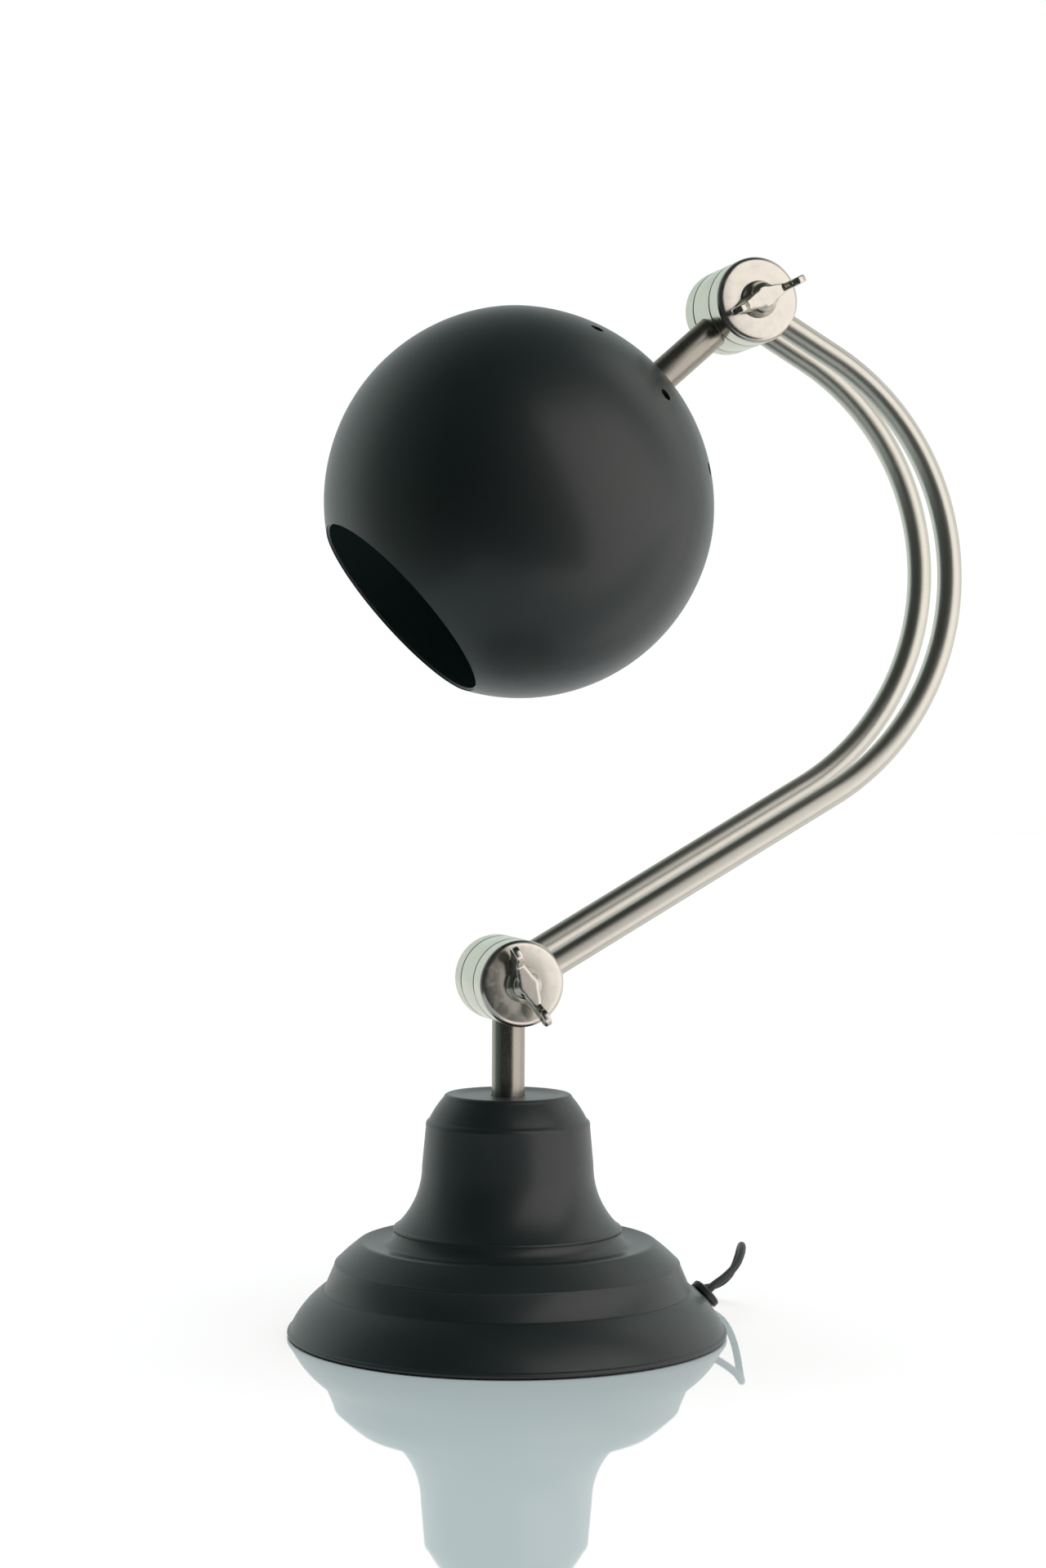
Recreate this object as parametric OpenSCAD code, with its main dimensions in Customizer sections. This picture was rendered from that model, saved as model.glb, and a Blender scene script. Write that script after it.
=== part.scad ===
// Adjustable table lamp: stepped base, twin-tube swing arm, globe shade on a pivot.
// Millimetres. Origin at the middle of the base's underside, Z up, arm plane XZ.

/* [Base] */
// Sheet thickness of the base shell
shell_t = 1.5; // [1:0.1:2.5]
// Underside of the shell's lip above the table
rest_h = 0.5; // [0.3:0.1:2]
// Height of the rim curl
curl_h = 2.1; // [1.5:0.1:4]
// Width of the inward lip under the shell
lip_w = 5.4; // [3:0.2:10]
// Height of the skirt
skirt_h = 14.9; // [12:0.1:22]
// Width of the skirt, rim to kink
skirt_w = 13.3; // [8:0.1:20]
// Crown of the skirt's curve
skirt_crown = 1.25; // [0.5:0.05:2]
// Height of the crease between skirt and band
kink_h = 0.5; // [0.4:0.1:1]
// Width of the crease
kink_w = 0.9; // [0.6:0.1:1.5]
// Height of the upright band
band_h = 9.5; // [6:0.1:12]
// Slope of the band, as a width
band_w = 4; // [2:0.1:6]
// Height of the shoulder
shoulder_h = 8.2; // [6:0.1:12]
// Width of the shoulder
shoulder_w = 9.4; // [7:0.2:14]
// Crown of the shoulder's curve
shoulder_crown = 0.2; // [0.1:0.05:0.6]
// Width from the bell's foot to the shoulder's crest
groove_w = 14.15; // [11:0.05:18]
// Depth of the groove under the crest
groove_d = 0.9; // [0.4:0.1:1.4]
// Height of the bell's foot above the crest
foot_h = 6; // [4.5:0.1:8]
// Radius of the bell's flare
flare_r = 32; // [24:0.5:44]
// Sweep of the flare in degrees
flare_deg = 45.7; // [38:0.1:55]
// Radius of the bell wall at the flare
bell_r = 33; // [26:0.2:45]
// Height of the bell wall
wall_h = 16.56; // [10:0.02:30]
// Taper of the bell wall, as a width
wall_in = 1.4; // [0.5:0.1:3]
// Height of the bell's chamfered top
chamfer_h = 11.1; // [5:0.1:16]
// Width of the chamfer
chamfer_w = 7.8; // [4:0.1:11]
// Depth of the dish in the bell's top
dish_d = 0.6; // [0.2:0.1:1.2]
// Thickness of the base plate
plate_t = 1.2; // [0.8:0.1:3]
// Height of the ballast's hub above the ballast
hub_h = 14; // [8:0.5:18]
// Radius of the ballast's hub
hub_r = 20; // [15:0.5:26]

/* [Post and stem] */
// Outside diameter of post and stem
post_d = 12.7; // [10:0.1:14]
// Bore of post and stem
post_bore = 10.1; // [8:0.1:10.6]
// Lower pivot above the bell's top
post_reach = 43.6; // [36:0.2:80]
// Globe centre from the upper pivot
shade_reach = 120; // [112:0.5:150]
// Across flats of the post nuts
post_nut_af = 19; // [17:0.5:22]
// Thickness of the post nuts
post_nut_t = 6; // [4:0.5:8]
// Thickness of the washers on post and nipple
washer_t = 1.5; // [1:0.1:2.5]

/* [Pivots] */
// Radius of all knuckles
knuckle_r = 16.6; // [15.5:0.1:22]
// Width of a centre knuckle
centre_w = 17.6; // [15.5:0.2:24]
// Width of an outer knuckle
outer_w = 10.6; // [10.2:0.2:16]
// Rounding of the outer knuckles' edge
knuckle_round = 2.2; // [1:0.1:3]
// Thickness of a friction washer
friction_t = 0.35; // [0.2:0.05:0.8]
// Running clearance beside the friction washers and under the wing nuts
run_gap = 0.05; // [0.03:0.01:0.1]
// Bolt diameter
bolt_d = 6; // [5:0.5:8]
// Running clearance on the bolt, radial
bolt_gap = 0.05; // [0.02:0.01:0.1]
// Diameter of the bolt's head
bolt_head_d = 13.5; // [12:0.5:18]
// Height of the bolt's head
bolt_head_h = 3.4; // [2.5:0.1:5]
// Foot diameter of a wing nut's hub
wing_hub_d = 14.6; // [12:0.2:18]
// Top diameter of a wing nut's hub
wing_top_d = 10; // [8.4:0.1:11.5]
// Height of a wing nut's hub
wing_hub_h = 8; // [6:0.2:12]
// Span over the wings
wing_span = 33; // [29:0.5:45]
// Height of the wings
wing_h = 14; // [12:0.2:18]
// Thickness of the wings
wing_t = 2.6; // [1.8:0.1:4]
// Turn of the lower wing nut in degrees
lower_wing_turn = -65; // [-180:1:180]
// Turn of the upper wing nut in degrees
upper_wing_turn = 27; // [-180:1:180]

/* [Arm] */
// Outside diameter of the arm tubes
tube_d = 9.5; // [8:0.1:9.8]
// Bore of the arm tubes
tube_bore = 7; // [6:0.1:7.4]
// Slope of the arm's lower leg in degrees
arm_deg = 29.8; // [20:0.2:45]
// Lower leg, pivot to bend
leg_low = 146.9; // [100:0.5:220]
// Radius of the bend
bend_r = 98.2; // [70:0.5:140]
// Sweep of the bend in degrees
bend_deg = 120.7; // [100:0.5:135]
// Upper leg, bend to pivot
leg_high = 38.5; // [30:0.5:80]
// Offset of the tubes, front low and rear high
tube_stagger = 1.25; // [0:0.25:2]
// Depth from a pivot at which tubes, post and stem end
socket_in = 11.6; // [11:0.1:12.4]

/* [Shade] */
// Direction of the stem in degrees from +X
shade_deg = 221.4; // [190:0.2:265]
// Radius of the globe
globe_r = 75; // [70:0.5:82]
// Wall of the globe
globe_wall = 1.2; // [0.8:0.1:2]
// Flattening of the globe at the stem
crown_drop = 1.4; // [0:0.1:2]
// Diameter of the globe's mouth
mouth_d = 83; // [70:1:100]
// Diameter of a vent hole
vent_d = 5; // [3:0.5:8]
// Radius of the ring of vent holes
vent_ring = 48.5; // [42:0.5:56]
// Turn of the ring of vent holes in degrees
vent_turn = 0; // [-45:1:45]
// Outside diameter of the lamp holder
holder_d = 28; // [26.5:0.5:34]
// Diameter of the bulb
bulb_d = 45; // [40:1:60]

/* [Cord] */
// Cord diameter
cord_d = 3; // [2.8:0.1:3]
// Diameter of the leads inside the lamp
lead_d = 3; // [2.4:0.1:3]
// Flange diameter of the cord gland
gland_d = 12.4; // [11.5:0.2:15]
// Length of the cord switch
switch_l = 46; // [44:1:48]
// Width of the cord switch
switch_w = 20; // [19:0.5:24]
// Height of the cord switch
switch_h = 14; // [13.5:0.5:18]
// Tilt of the rocker at rest in degrees
rocker_tilt = 8; // [5:0.5:9]
// Width of the plug's body
plug_w = 20; // [19:0.5:24]
// Length of the plug's blades
blade_l = 16; // [14:0.5:17.5]

/* [Hidden] */
$fn = 72;
fit = 0.05;
post_r = post_d / 2;
bore_r = post_bore / 2;
tube_r = tube_d / 2;
cord_r = cord_d / 2;
lead_r = lead_d / 2;

function unit(v) = v / norm(v);
function arc(c, r, a0, a1, n = 16) =
    [for (i = [0:n]) c + r * [cos(a0 + (a1 - a0) * i / n), sin(a0 + (a1 - a0) * i / n)]];
// Arc from p to q that bulges by s to the left
function bulge(p, q, s, n = 16) =
    let (d = q - p, l = norm(d), r = (l * l / 4 + s * s) / (2 * s))
    let (u = d / l, v = [-u[1], u[0]], c = (p + q) / 2 - v * (r - s), h = asin(l / 2 / r))
    [for (i = [0:n]) let (f = -h + 2 * h * i / n) c + r * (v * cos(f) + u * sin(f))];

// Levels of the base, from the table up
z_skirt = rest_h + curl_h;
z_kink = z_skirt + skirt_h;
z_band = z_kink + kink_h;
z_shoulder = z_band + band_h;
z_crest = z_shoulder + shoulder_h;
z_foot = z_crest + foot_h;
z_flare = z_foot + flare_r * sin(flare_deg);
z_wall = z_flare + wall_h;
z_top = z_wall + chamfer_h;
// Radii of the base, from the bell out
r_wall = bell_r - wall_in;
r_top = r_wall - chamfer_w;
r_foot = bell_r + flare_r * (1 - cos(flare_deg));
r_crest = r_foot + groove_w;
r_shoulder = r_crest + shoulder_w;
r_band = r_shoulder + band_w;
r_kink = r_band + kink_w;
base_r = r_kink + skirt_w;
lip_r = base_r - lip_w;
hole_r = post_r + 0.35;
plate_z = rest_h + shell_t;
plate_r = base_r - 2.2 * shell_t;
weight_z = plate_z + plate_t;
weight_r = r_shoulder - 7;
weight_top = z_shoulder + 1;
recess_r = post_nut_af / 2 + 5;
lead_bend = 4 * lead_d;
recess_top = weight_z + post_nut_t + washer_t + lead_bend + 1;
post_foot = recess_top - washer_t - post_nut_t - 1;
groove_half = lead_r + 2.5;

// Pivots and pieces on them
pivot_z = z_top + post_reach;
hub_ring = 6.5;
rim_in = 12;
web_half = 1.2;
centre_half = centre_w / 2;
outer_in = centre_half + run_gap + friction_t;
outer_out = outer_in + outer_w;
tube_y = outer_in + outer_w / 2;
end_wall = 4;
bolt_r = bolt_d / 2;
hole_bolt = bolt_r + bolt_gap;
nut_y = outer_out + run_gap;
reach_x = leg_low + bend_r * sin(bend_deg) + leg_high * cos(bend_deg);
reach_z = bend_r - bend_r * cos(bend_deg) + leg_high * sin(bend_deg);
upper = [
    reach_x * cos(arm_deg) - reach_z * sin(arm_deg),
    0,
    pivot_z + reach_x * sin(arm_deg) + reach_z * cos(arm_deg)
];

// Globe and lamp holder, measured along the stem from the upper pivot
knee_r = globe_r - 13;
knee_x = (globe_r - knee_r) * sin(60);
knee_z = (globe_r - knee_r) * cos(60);
crown_a = 2 * atan((globe_r - crown_drop - knee_r - knee_z) / knee_x);
crown_r = knee_r + knee_x / sin(crown_a);
mouth_a = 180 - asin(mouth_d / 2 / globe_r);
pole = shade_reach - globe_r + crown_drop;
nipple_r = bore_r - fit;
nipple_in = 3.6;
nipple_lap = 16;
crown_sag = crown_r - sqrt(crown_r * crown_r - bore_r * bore_r);
stem_end = pole + crown_sag;
crown_in = crown_r - globe_wall;
ring_r = 9;
seat = pole + globe_wall + crown_in - sqrt(crown_in * crown_in - ring_r * ring_r) + 0.02;
nut_in = seat + washer_t;
shade_nut_t = 5;
cap_in = nut_in + shade_nut_t;
holder_r = holder_d / 2;
skirt_in = cap_in + 12;
insert_in = skirt_in + 1.5;
insert_t = 6;
shell_in = insert_in + insert_t;
shell_l = 19;
contact_t = 2.5;
bulb_in = shell_in + contact_t + 0.1;
bulb_cap_r = 6.9;
bulb_cap_l = 21;
neck_l = 12;
neck_r = bulb_cap_r + 1.1;
bulb_neck = bulb_in + bulb_cap_l;
ball_r = bulb_d / 2;
ball_c = bulb_neck + neck_l + ball_r;

// Gland and cord
gland_z = weight_z + 6.3;
gland_f = (gland_z - z_skirt) / skirt_h;
gland_at = [
    base_r - 1.1 - gland_f * (skirt_w - 0.9) + 5.2 * gland_f * (1 - gland_f) * skirt_crown, 0, gland_z
];
gland_tilt = 42;
gland_dir = [cos(gland_tilt), 0, sin(gland_tilt)];
gland_out = 4;
gland_in = 3.8;
cord_z = 6;
switch_at = [78, 62, cord_z];
switch_turn = 115;
switch_dir = [cos(switch_turn), sin(switch_turn), 0];
switch_far = switch_at + switch_l * switch_dir;
switch_wall = 4;
coil_at = [24, 122];
coil_out = 24.4;
coil_pitch = 3.5;
coil_a0 = 23.5;
coil_a1 = 90;
coil_turns = 14 + (coil_a1 - coil_a0) / 360;
coil_layer = coil_turns / 4;
coil_z = 2.6;
plug_at = [-13.3, 134.2, cord_z];
plug_turn = 253.7;
plug_dir = [cos(plug_turn), sin(plug_turn), 0];
nose_l = 16;
plug_l = 17;

// Part of a layer's climb, by the turn t
function climb(t) = let (f = max(0, min(1, t + 0.5))) f * f * (3 - 2 * f);
function coil_radius(t) =
    let (k = min(3, floor(t / coil_layer)), f = t / coil_layer - k)
    coil_out - coil_pitch * coil_layer * (k % 2 == 0 ? f : 1 - f);
function coil_height(t) =
    coil_z + coil_pitch * (climb((t - coil_layer) * 2) + climb((t - 2 * coil_layer) * 2)
    + climb((t - 3 * coil_layer) * 2));
function coil_point(t) =
    let (a = coil_a0 + 360 * t, r = coil_radius(t))
    [coil_at[0] + r * cos(a), coil_at[1] + r * sin(a), coil_height(t)];
coil_steps = ceil(coil_turns * 24);
coil_body = [for (i = [0:coil_steps]) coil_point(coil_turns * i / coil_steps)];
coil_in = coil_body[0] + cord_d * [sin(coil_a0), -cos(coil_a0), 0];
coil_end = coil_body[coil_steps] + cord_d * [-sin(coil_a1), cos(coil_a1), 0];
coil_path = concat([coil_in], coil_body, [coil_end]);

gland_nose = gland_at + gland_out * gland_dir;
lead_path = concat(
    [gland_nose, gland_nose + cord_d * gland_dir],
    [[88.2, 0.15, 16.6], [91.7, 0.9, 19], [94.9, 2.4, 21.5], [97.5, 5, 24.2]],
    [[99.7, 9, 26.3], [101.5, 14.2, 26.8], [103, 20, 24.7], [104.1, 25.6, 20.2]],
    [[104.3, 30.6, 15], [103.4, 35.2, 10.3], [101.2, 39.6, 6.8], [97.5, 43.4, 4.8]],
    [[92.9, 46.2, 4.1], [88.2, 48.8, 4.4], [83.7, 52.4, 5.3]],
    [switch_at - 5 * switch_dir, switch_at],
    [switch_at + switch_wall * switch_dir]
);
run_path = concat(
    [switch_far - switch_wall * switch_dir, switch_far, switch_far + 4 * switch_dir],
    [[54.2, 113.6, 5.3], [51.8, 119.2, 3.9], [49.7, 124.1, 2.8], coil_in]
);
tail_path = concat(
    [coil_end, [15, 146.4, 12.3], [9, 146.4, 10], [3.2, 146.4, 7.8], [-2.4, 146.1, 6.3]],
    [[-6.9, 144.5, 5.8], [-10.4, 141.3, 5.8], plug_at - cord_d * plug_dir, plug_at]
);
// Lead in the base, from the gland into the post
lead_z = weight_z + 2.2;
base_path = concat(
    [gland_nose, gland_at - gland_in * gland_dir, gland_at + [-4.9, 0, -4]],
    [[gland_at[0] - 7.4, 0, lead_z], [gland_at[0] - 14, 0, lead_z]],
    [[40, 0, lead_z], [16, 0, lead_z]],
    [for (p = arc([lead_bend, lead_z + lead_bend], lead_bend, 270, 180, 6)) [p[0], 0, p[1]]],
    [[0, 0.8, lead_z + 18], [0, 2.4, lead_z + 25], [0, 3.2, lead_z + 32], [0, 3.2, pivot_z - 9]]
);
// Lead in the stem, along the stem
stem_path = [[0, 3.2, 9], [0, 3.2, 12], [0, 1.9, stem_end - nipple_lap - 3], [0, 1.9, insert_in]];

black = [0.07, 0.07, 0.08];
nickel = [0.72, 0.69, 0.62];
steel = [0.6, 0.61, 0.62];
iron = [0.25, 0.25, 0.26];
brass = [0.75, 0.6, 0.3];
grey = [0.2, 0.2, 0.21];

// A round tube along path p; ref is never along it
module tube(p, r, sides, ref) {
    n = len(p);
    t = [for (i = [0:n - 1]) unit(p[min(i + 1, n - 1)] - p[max(i - 1, 0)])];
    pts = [
        for (i = [0:n - 1])
            let (b = unit(cross(t[i], ref)), a = cross(b, t[i]))
            for (k = [0:sides - 1])
                p[i] + r * (a * cos(360 * k / sides) + b * sin(360 * k / sides))
    ];
    walls = [
        for (i = [0:n - 2])
            for (k = [0:sides - 1])
                let (m = (k + 1) % sides)
                [i * sides + k, (i + 1) * sides + k, (i + 1) * sides + m, i * sides + m]
    ];
    first = [for (k = [0:sides - 1]) k];
    last = [for (k = [0:sides - 1]) n * sides - 1 - k];
    polyhedron(points = pts, faces = concat([first], walls, [last]), convexity = 10);
}

module ring(r_in, r_out, z0, z1) {
    translate([0, 0, z0])
        linear_extrude(z1 - z0)
            difference() {
                circle(r_out);
                circle(r_in);
            }
}

module rounded_plate(l, w, h, r) {
    linear_extrude(h) {
        square([l - 2 * r, w], center = true);
        square([l, w - 2 * r], center = true);
        for (x = [-1, 1], y = [-1, 1])
            translate([x * (l / 2 - r), y * (w / 2 - r)]) circle(r);
    }
}

// Local Z becomes the front-to-rear axis
module along_y() {
    rotate([-90, 0, 0]) children();
}

module at_gland() {
    translate(gland_at) rotate([0, 90 - gland_tilt, 0]) children();
}

module in_arm() {
    translate([0, 0, pivot_z]) rotate([0, -arm_deg, 0]) children();
}

// At the arm's upper end, X along the upper leg toward the pivot
module in_arm_end() {
    in_arm() translate([reach_x, 0, reach_z]) rotate([0, -bend_deg, 0]) children();
}

// At the upper pivot, Z along the stem
module in_shade() {
    translate(upper) rotate([0, 90 - shade_deg, 0]) children();
}

module at_switch() {
    translate([switch_at[0], switch_at[1], 0])
        rotate([0, 0, switch_turn])
            translate([switch_l / 2, 0, 0])
                children();
}

module at_plug() {
    translate([plug_at[0], plug_at[1], 0]) rotate([0, 0, plug_turn]) children();
}

base_outer = concat(
    [[r_top - 1, z_top]],
    bulge([r_top - 0.7, z_top], [r_top + 1, z_top - 1.3], 0.35, 6),
    bulge([r_top + 1.1, z_top - 1.45], [r_wall - 1.3, z_wall + 1.5], 0.3, 8),
    bulge([r_wall - 1.2, z_wall + 1.35], [r_wall, z_wall - 1.3], 0.5, 8),
    arc([bell_r + flare_r, z_flare], flare_r, 180, 180 + flare_deg, 24),
    bulge([r_foot + 0.25, z_foot - 0.22], [r_foot + 1.2, z_foot - 1.6], 0.45, 8),
    bulge([r_foot + 1.15, z_foot - 2], [r_foot + 4.6, z_crest - groove_d + 0.15], -0.75, 10),
    bulge([r_foot + 5.2, z_crest - groove_d], [r_crest - 1.9, z_crest - 0.05], -0.12, 8),
    bulge([r_crest - 1.6, z_crest], [r_crest + 1, z_crest - 0.65], 0.32, 8),
    bulge([r_crest + 1.3, z_crest - 0.9], [r_shoulder - 0.6, z_shoulder + 0.75], shoulder_crown, 10),
    bulge([r_shoulder - 0.45, z_shoulder + 0.6], [r_shoulder + 0.25, z_shoulder - 0.7], 0.28, 6),
    [[r_band, z_band]],
    bulge([r_band + 0.2, z_band - 0.3], [r_kink, z_kink], -0.12, 4),
    bulge([r_kink + 0.1, z_kink - 0.07], [base_r - 0.9, z_skirt], skirt_crown, 24),
    bulge([base_r - 0.6, z_skirt - 0.1], [base_r - 0.5, rest_h], 0.6, 10)
);
base_inner = concat(
    [[lip_r, rest_h], [lip_r, plate_z], [base_r - 1.9 * shell_t, plate_z]],
    bulge([base_r - 1.7 * shell_t, z_skirt], [r_kink - 0.5 * shell_t, z_kink - shell_t], -skirt_crown, 16),
    [[r_band - 1.05 * shell_t, z_band - 0.7 * shell_t]],
    [[r_shoulder - shell_t, z_shoulder - 0.8 * shell_t], [r_crest, z_crest - groove_d - shell_t]],
    [[r_foot + 3.6, z_crest - groove_d - shell_t], [r_foot - 0.2, z_crest + 0.5]],
    arc([bell_r + flare_r, z_flare], flare_r + shell_t, 180 + flare_deg - 2, 180, 16),
    [[r_wall - shell_t, z_wall - 0.4 * shell_t], [r_top - 0.6 * shell_t, z_top - dish_d - shell_t]],
    [[hole_r, z_top - dish_d - shell_t], [hole_r, z_top - dish_d]],
    [[r_top - 5, z_top - dish_d], [r_top - 3, z_top]]
);

module base_shell() {
    color(black)
        difference() {
            rotate_extrude() polygon(concat(base_outer, base_inner));
            at_gland() translate([0, 0, -12]) cylinder(r = 4.7, h = 24);
        }
}

module base_weight() {
    color(iron)
        difference() {
            rotate_extrude()
                polygon([
                    [post_r + fit, recess_top], [recess_r, recess_top], [recess_r, weight_z],
                    [weight_r, weight_z], [weight_r, weight_top - 2], [weight_r - 2, weight_top],
                    [hub_r, weight_top], [hub_r, weight_top + hub_h], [post_r + fit, weight_top + hub_h]
                ]);
            translate([0, -groove_half, weight_z - 1])
                cube([weight_r + 10, 2 * groove_half, 1 + lead_d + 3]);
        }
}

module base_plate() {
    color(steel) translate([0, 0, plate_z]) cylinder(r = plate_r, h = plate_t);
}

module base_pad() {
    color(grey) cylinder(r = lip_r - 0.5, h = plate_z);
}

module post_tube() {
    color(nickel) ring(bore_r, post_r, post_foot, pivot_z - socket_in);
}

bell_seat = z_top - dish_d - shell_t;
module post_nut(z) {
    translate([0, 0, z])
        difference() {
            cylinder(r = post_nut_af / sqrt(3), h = post_nut_t, $fn = 6);
            translate([0, 0, -1]) cylinder(r = post_r + fit, h = post_nut_t + 2);
        }
}

module post_nuts() {
    color(steel) {
        post_nut(recess_top - washer_t - post_nut_t);
        post_nut(weight_top + hub_h + washer_t);
        post_nut(bell_seat - washer_t - post_nut_t);
    }
}

module post_washers() {
    color(steel)
        for (z = [recess_top - washer_t, weight_top + hub_h, bell_seat - washer_t])
            ring(post_r + fit, post_nut_af / 2 + 2, z, z + washer_t);
}

// Knuckle between the two outer ones; X is the way to its post or stem
module centre_knuckle() {
    color(nickel)
        difference() {
            along_y() ring(hole_bolt, knuckle_r, -centre_half, centre_half);
            along_y() ring(hub_ring, rim_in, web_half, centre_half + 1);
            along_y() ring(hub_ring, rim_in, -centre_half - 1, -web_half);
            translate([socket_in, 0, 0]) rotate([0, 90, 0]) cylinder(r = post_r + fit, h = knuckle_r);
        }
}

module lower_centre_knuckle() {
    translate([0, 0, pivot_z]) rotate([0, 90, 0]) centre_knuckle();
}

module upper_centre_knuckle() {
    in_shade() rotate([0, -90, 0]) centre_knuckle();
}

// Outer knuckle on the +Y side, without its tube socket
module outer_knuckle(square_hole) {
    difference() {
        along_y()
            rotate_extrude()
                difference() {
                    union() {
                        translate([0, outer_in]) square([knuckle_r - knuckle_round, outer_w]);
                        translate([0, outer_in]) square([knuckle_r, outer_w - knuckle_round]);
                        translate([knuckle_r - knuckle_round, outer_out - knuckle_round])
                            circle(knuckle_round);
                    }
                    translate([hub_ring, outer_in - 1])
                        square([rim_in - hub_ring, outer_w + 1 - end_wall]);
                }
        along_y() translate([0, 0, outer_in - 1]) cylinder(r = hole_bolt, h = outer_w + 2);
        if (square_hole)
            translate([-hole_bolt, outer_out - end_wall, -hole_bolt])
                cube([2 * hole_bolt, end_wall + 1, 2 * hole_bolt]);
    }
}

// Straight leg of a tube, along X from the socket
module leg(r, l) {
    translate([socket_in, 0, 0]) rotate([0, 90, 0]) cylinder(r = r, h = l - socket_in);
}
// Socket for a tube, with a way for the lead into the pocket
module socket() {
    leg(tube_r + fit, 2 * knuckle_r);
    translate([socket_in - 2.5, 0, 0]) rotate([0, 90, 0]) cylinder(r = tube_bore / 2, h = 5);
}

module lower_knuckle(side) {
    color(nickel)
        difference() {
            translate([0, 0, pivot_z]) mirror([0, side < 0 ? 1 : 0, 0]) outer_knuckle(side > 0);
            translate([0, side * tube_y, side * tube_stagger]) in_arm() socket();
        }
}

module upper_knuckle(side) {
    color(nickel)
        difference() {
            translate(upper) mirror([0, side < 0 ? 1 : 0, 0]) outer_knuckle(side > 0);
            translate([0, side * tube_y, side * tube_stagger])
                in_arm_end() mirror([1, 0, 0]) socket();
        }
}

// The arm's run from socket to socket as a rod of radius r, slimmer by draw past the bend
draw = 0.08;
module arm_run(r, extra) {
    in_arm() {
        translate([socket_in - extra, 0, 0])
            rotate([0, 90, 0]) cylinder(r = r, h = leg_low - socket_in + extra);
        translate([leg_low, 0, bend_r])
            rotate([90, 0, 0])
                rotate([0, 0, -90])
                    rotate_extrude(angle = bend_deg) translate([bend_r, 0]) circle(r);
        translate([leg_low + bend_r * sin(bend_deg), 0, bend_r - bend_r * cos(bend_deg)])
            rotate([0, 90 - bend_deg, 0])
                translate([0, 0, -0.5]) cylinder(r = r - draw, h = leg_high - socket_in + extra + 0.5);
    }
}

module arm_tube(side) {
    color(nickel)
        translate([0, side * tube_y, side * tube_stagger])
            difference() {
                arm_run(tube_r, 0);
                arm_run(tube_bore / 2, 1);
            }
}

module arm_lead() {
    color(grey)
        translate([0, tube_y - tube_bore / 2 + lead_r + 0.2, tube_stagger]) arm_run(lead_r, 2.5);
}

module front_arm_tube() { arm_tube(-1); }
module rear_arm_tube() { arm_tube(1); }
module lower_front_knuckle() { lower_knuckle(-1); }
module lower_rear_knuckle() { lower_knuckle(1); }
module upper_front_knuckle() { upper_knuckle(-1); }
module upper_rear_knuckle() { upper_knuckle(1); }

// Carriage bolt: domed head at the rear, end level with the wing nut's hub
module bolt() {
    dome = (bolt_head_d * bolt_head_d / 4 + bolt_head_h * bolt_head_h) / (2 * bolt_head_h);
    color(steel) {
        along_y()
            translate([0, 0, -nut_y - wing_hub_h])
                cylinder(r = bolt_r, h = nut_y + wing_hub_h + outer_out);
        translate([-bolt_r, outer_out - end_wall, -bolt_r]) cube([bolt_d, end_wall, bolt_d]);
        along_y()
            intersection() {
                translate([0, 0, outer_out + bolt_head_h - dome]) sphere(dome);
                translate([0, 0, outer_out]) cylinder(r = bolt_head_d, h = bolt_head_h + 1);
            }
    }
}

module lower_bolt() { translate([0, 0, pivot_z]) bolt(); }
module upper_bolt() { translate(upper) bolt(); }

module friction_washers() {
    color(grey)
        along_y() {
            ring(rim_in + 0.2, knuckle_r - 0.8, outer_in - friction_t, outer_in);
            ring(rim_in + 0.2, knuckle_r - 0.8, -outer_in, friction_t - outer_in);
        }
}

module lower_friction_washers() { translate([0, 0, pivot_z]) friction_washers(); }
module upper_friction_washers() { translate(upper) friction_washers(); }

// Half section of a wing nut's hub, and one wing from the side
tip_r = 3.4;
wing_x = wing_span / 2 - tip_r;
wing_z = wing_h - tip_r;
hub_low = wing_hub_d / 2;
hub_high = wing_top_d / 2;
hub_section = concat(
    [[0, 0], [hub_low - 0.4, 0], [hub_low, 0.4]],
    bulge([hub_low, 1.2], [hub_high + 0.3, wing_hub_h - 1.2], -0.5, 8),
    bulge([hub_high + 0.2, wing_hub_h - 0.9], [hub_high - 0.6, wing_hub_h], -0.25, 5),
    [[0, wing_hub_h]]
);
wing_section = [
    [hub_high - 0.5, 0.9], [hub_low, 1.4], [wing_x - 1.6, wing_z - 6.4],
    [wing_x + 2.9, wing_z - 1.8], [wing_x - 1.7, wing_z + 2.95], [wing_x - 5, wing_z - 2.2],
    [hub_high - 0.5, wing_hub_h - 1.6]
];

module wing() {
    translate([0, wing_t / 2, 0])
        rotate([90, 0, 0])
            linear_extrude(wing_t) {
                polygon(wing_section);
                translate([wing_x, wing_z]) circle(tip_r);
            }
}

// Wing nut on the front face; local Z points to the front
module wing_nut(turn) {
    color(nickel)
        translate([0, -nut_y, 0])
            rotate([90, 0, 0])
                rotate([0, 0, turn])
                    difference() {
                        union() {
                            rotate_extrude() polygon(hub_section);
                            wing();
                            mirror([1, 0, 0]) wing();
                        }
                        translate([0, 0, -1]) cylinder(r = hole_bolt, h = wing_h + 2);
                    }
}

module lower_wing_nut() { translate([0, 0, pivot_z]) wing_nut(lower_wing_turn); }
module upper_wing_nut() { translate(upper) wing_nut(upper_wing_turn); }

module shade_stem() {
    color(nickel) in_shade() ring(bore_r, post_r, socket_in, stem_end);
}

module shade_nipple() {
    color(steel) in_shade() ring(nipple_in, nipple_r, stem_end - nipple_lap, cap_in + 4);
}

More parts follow.
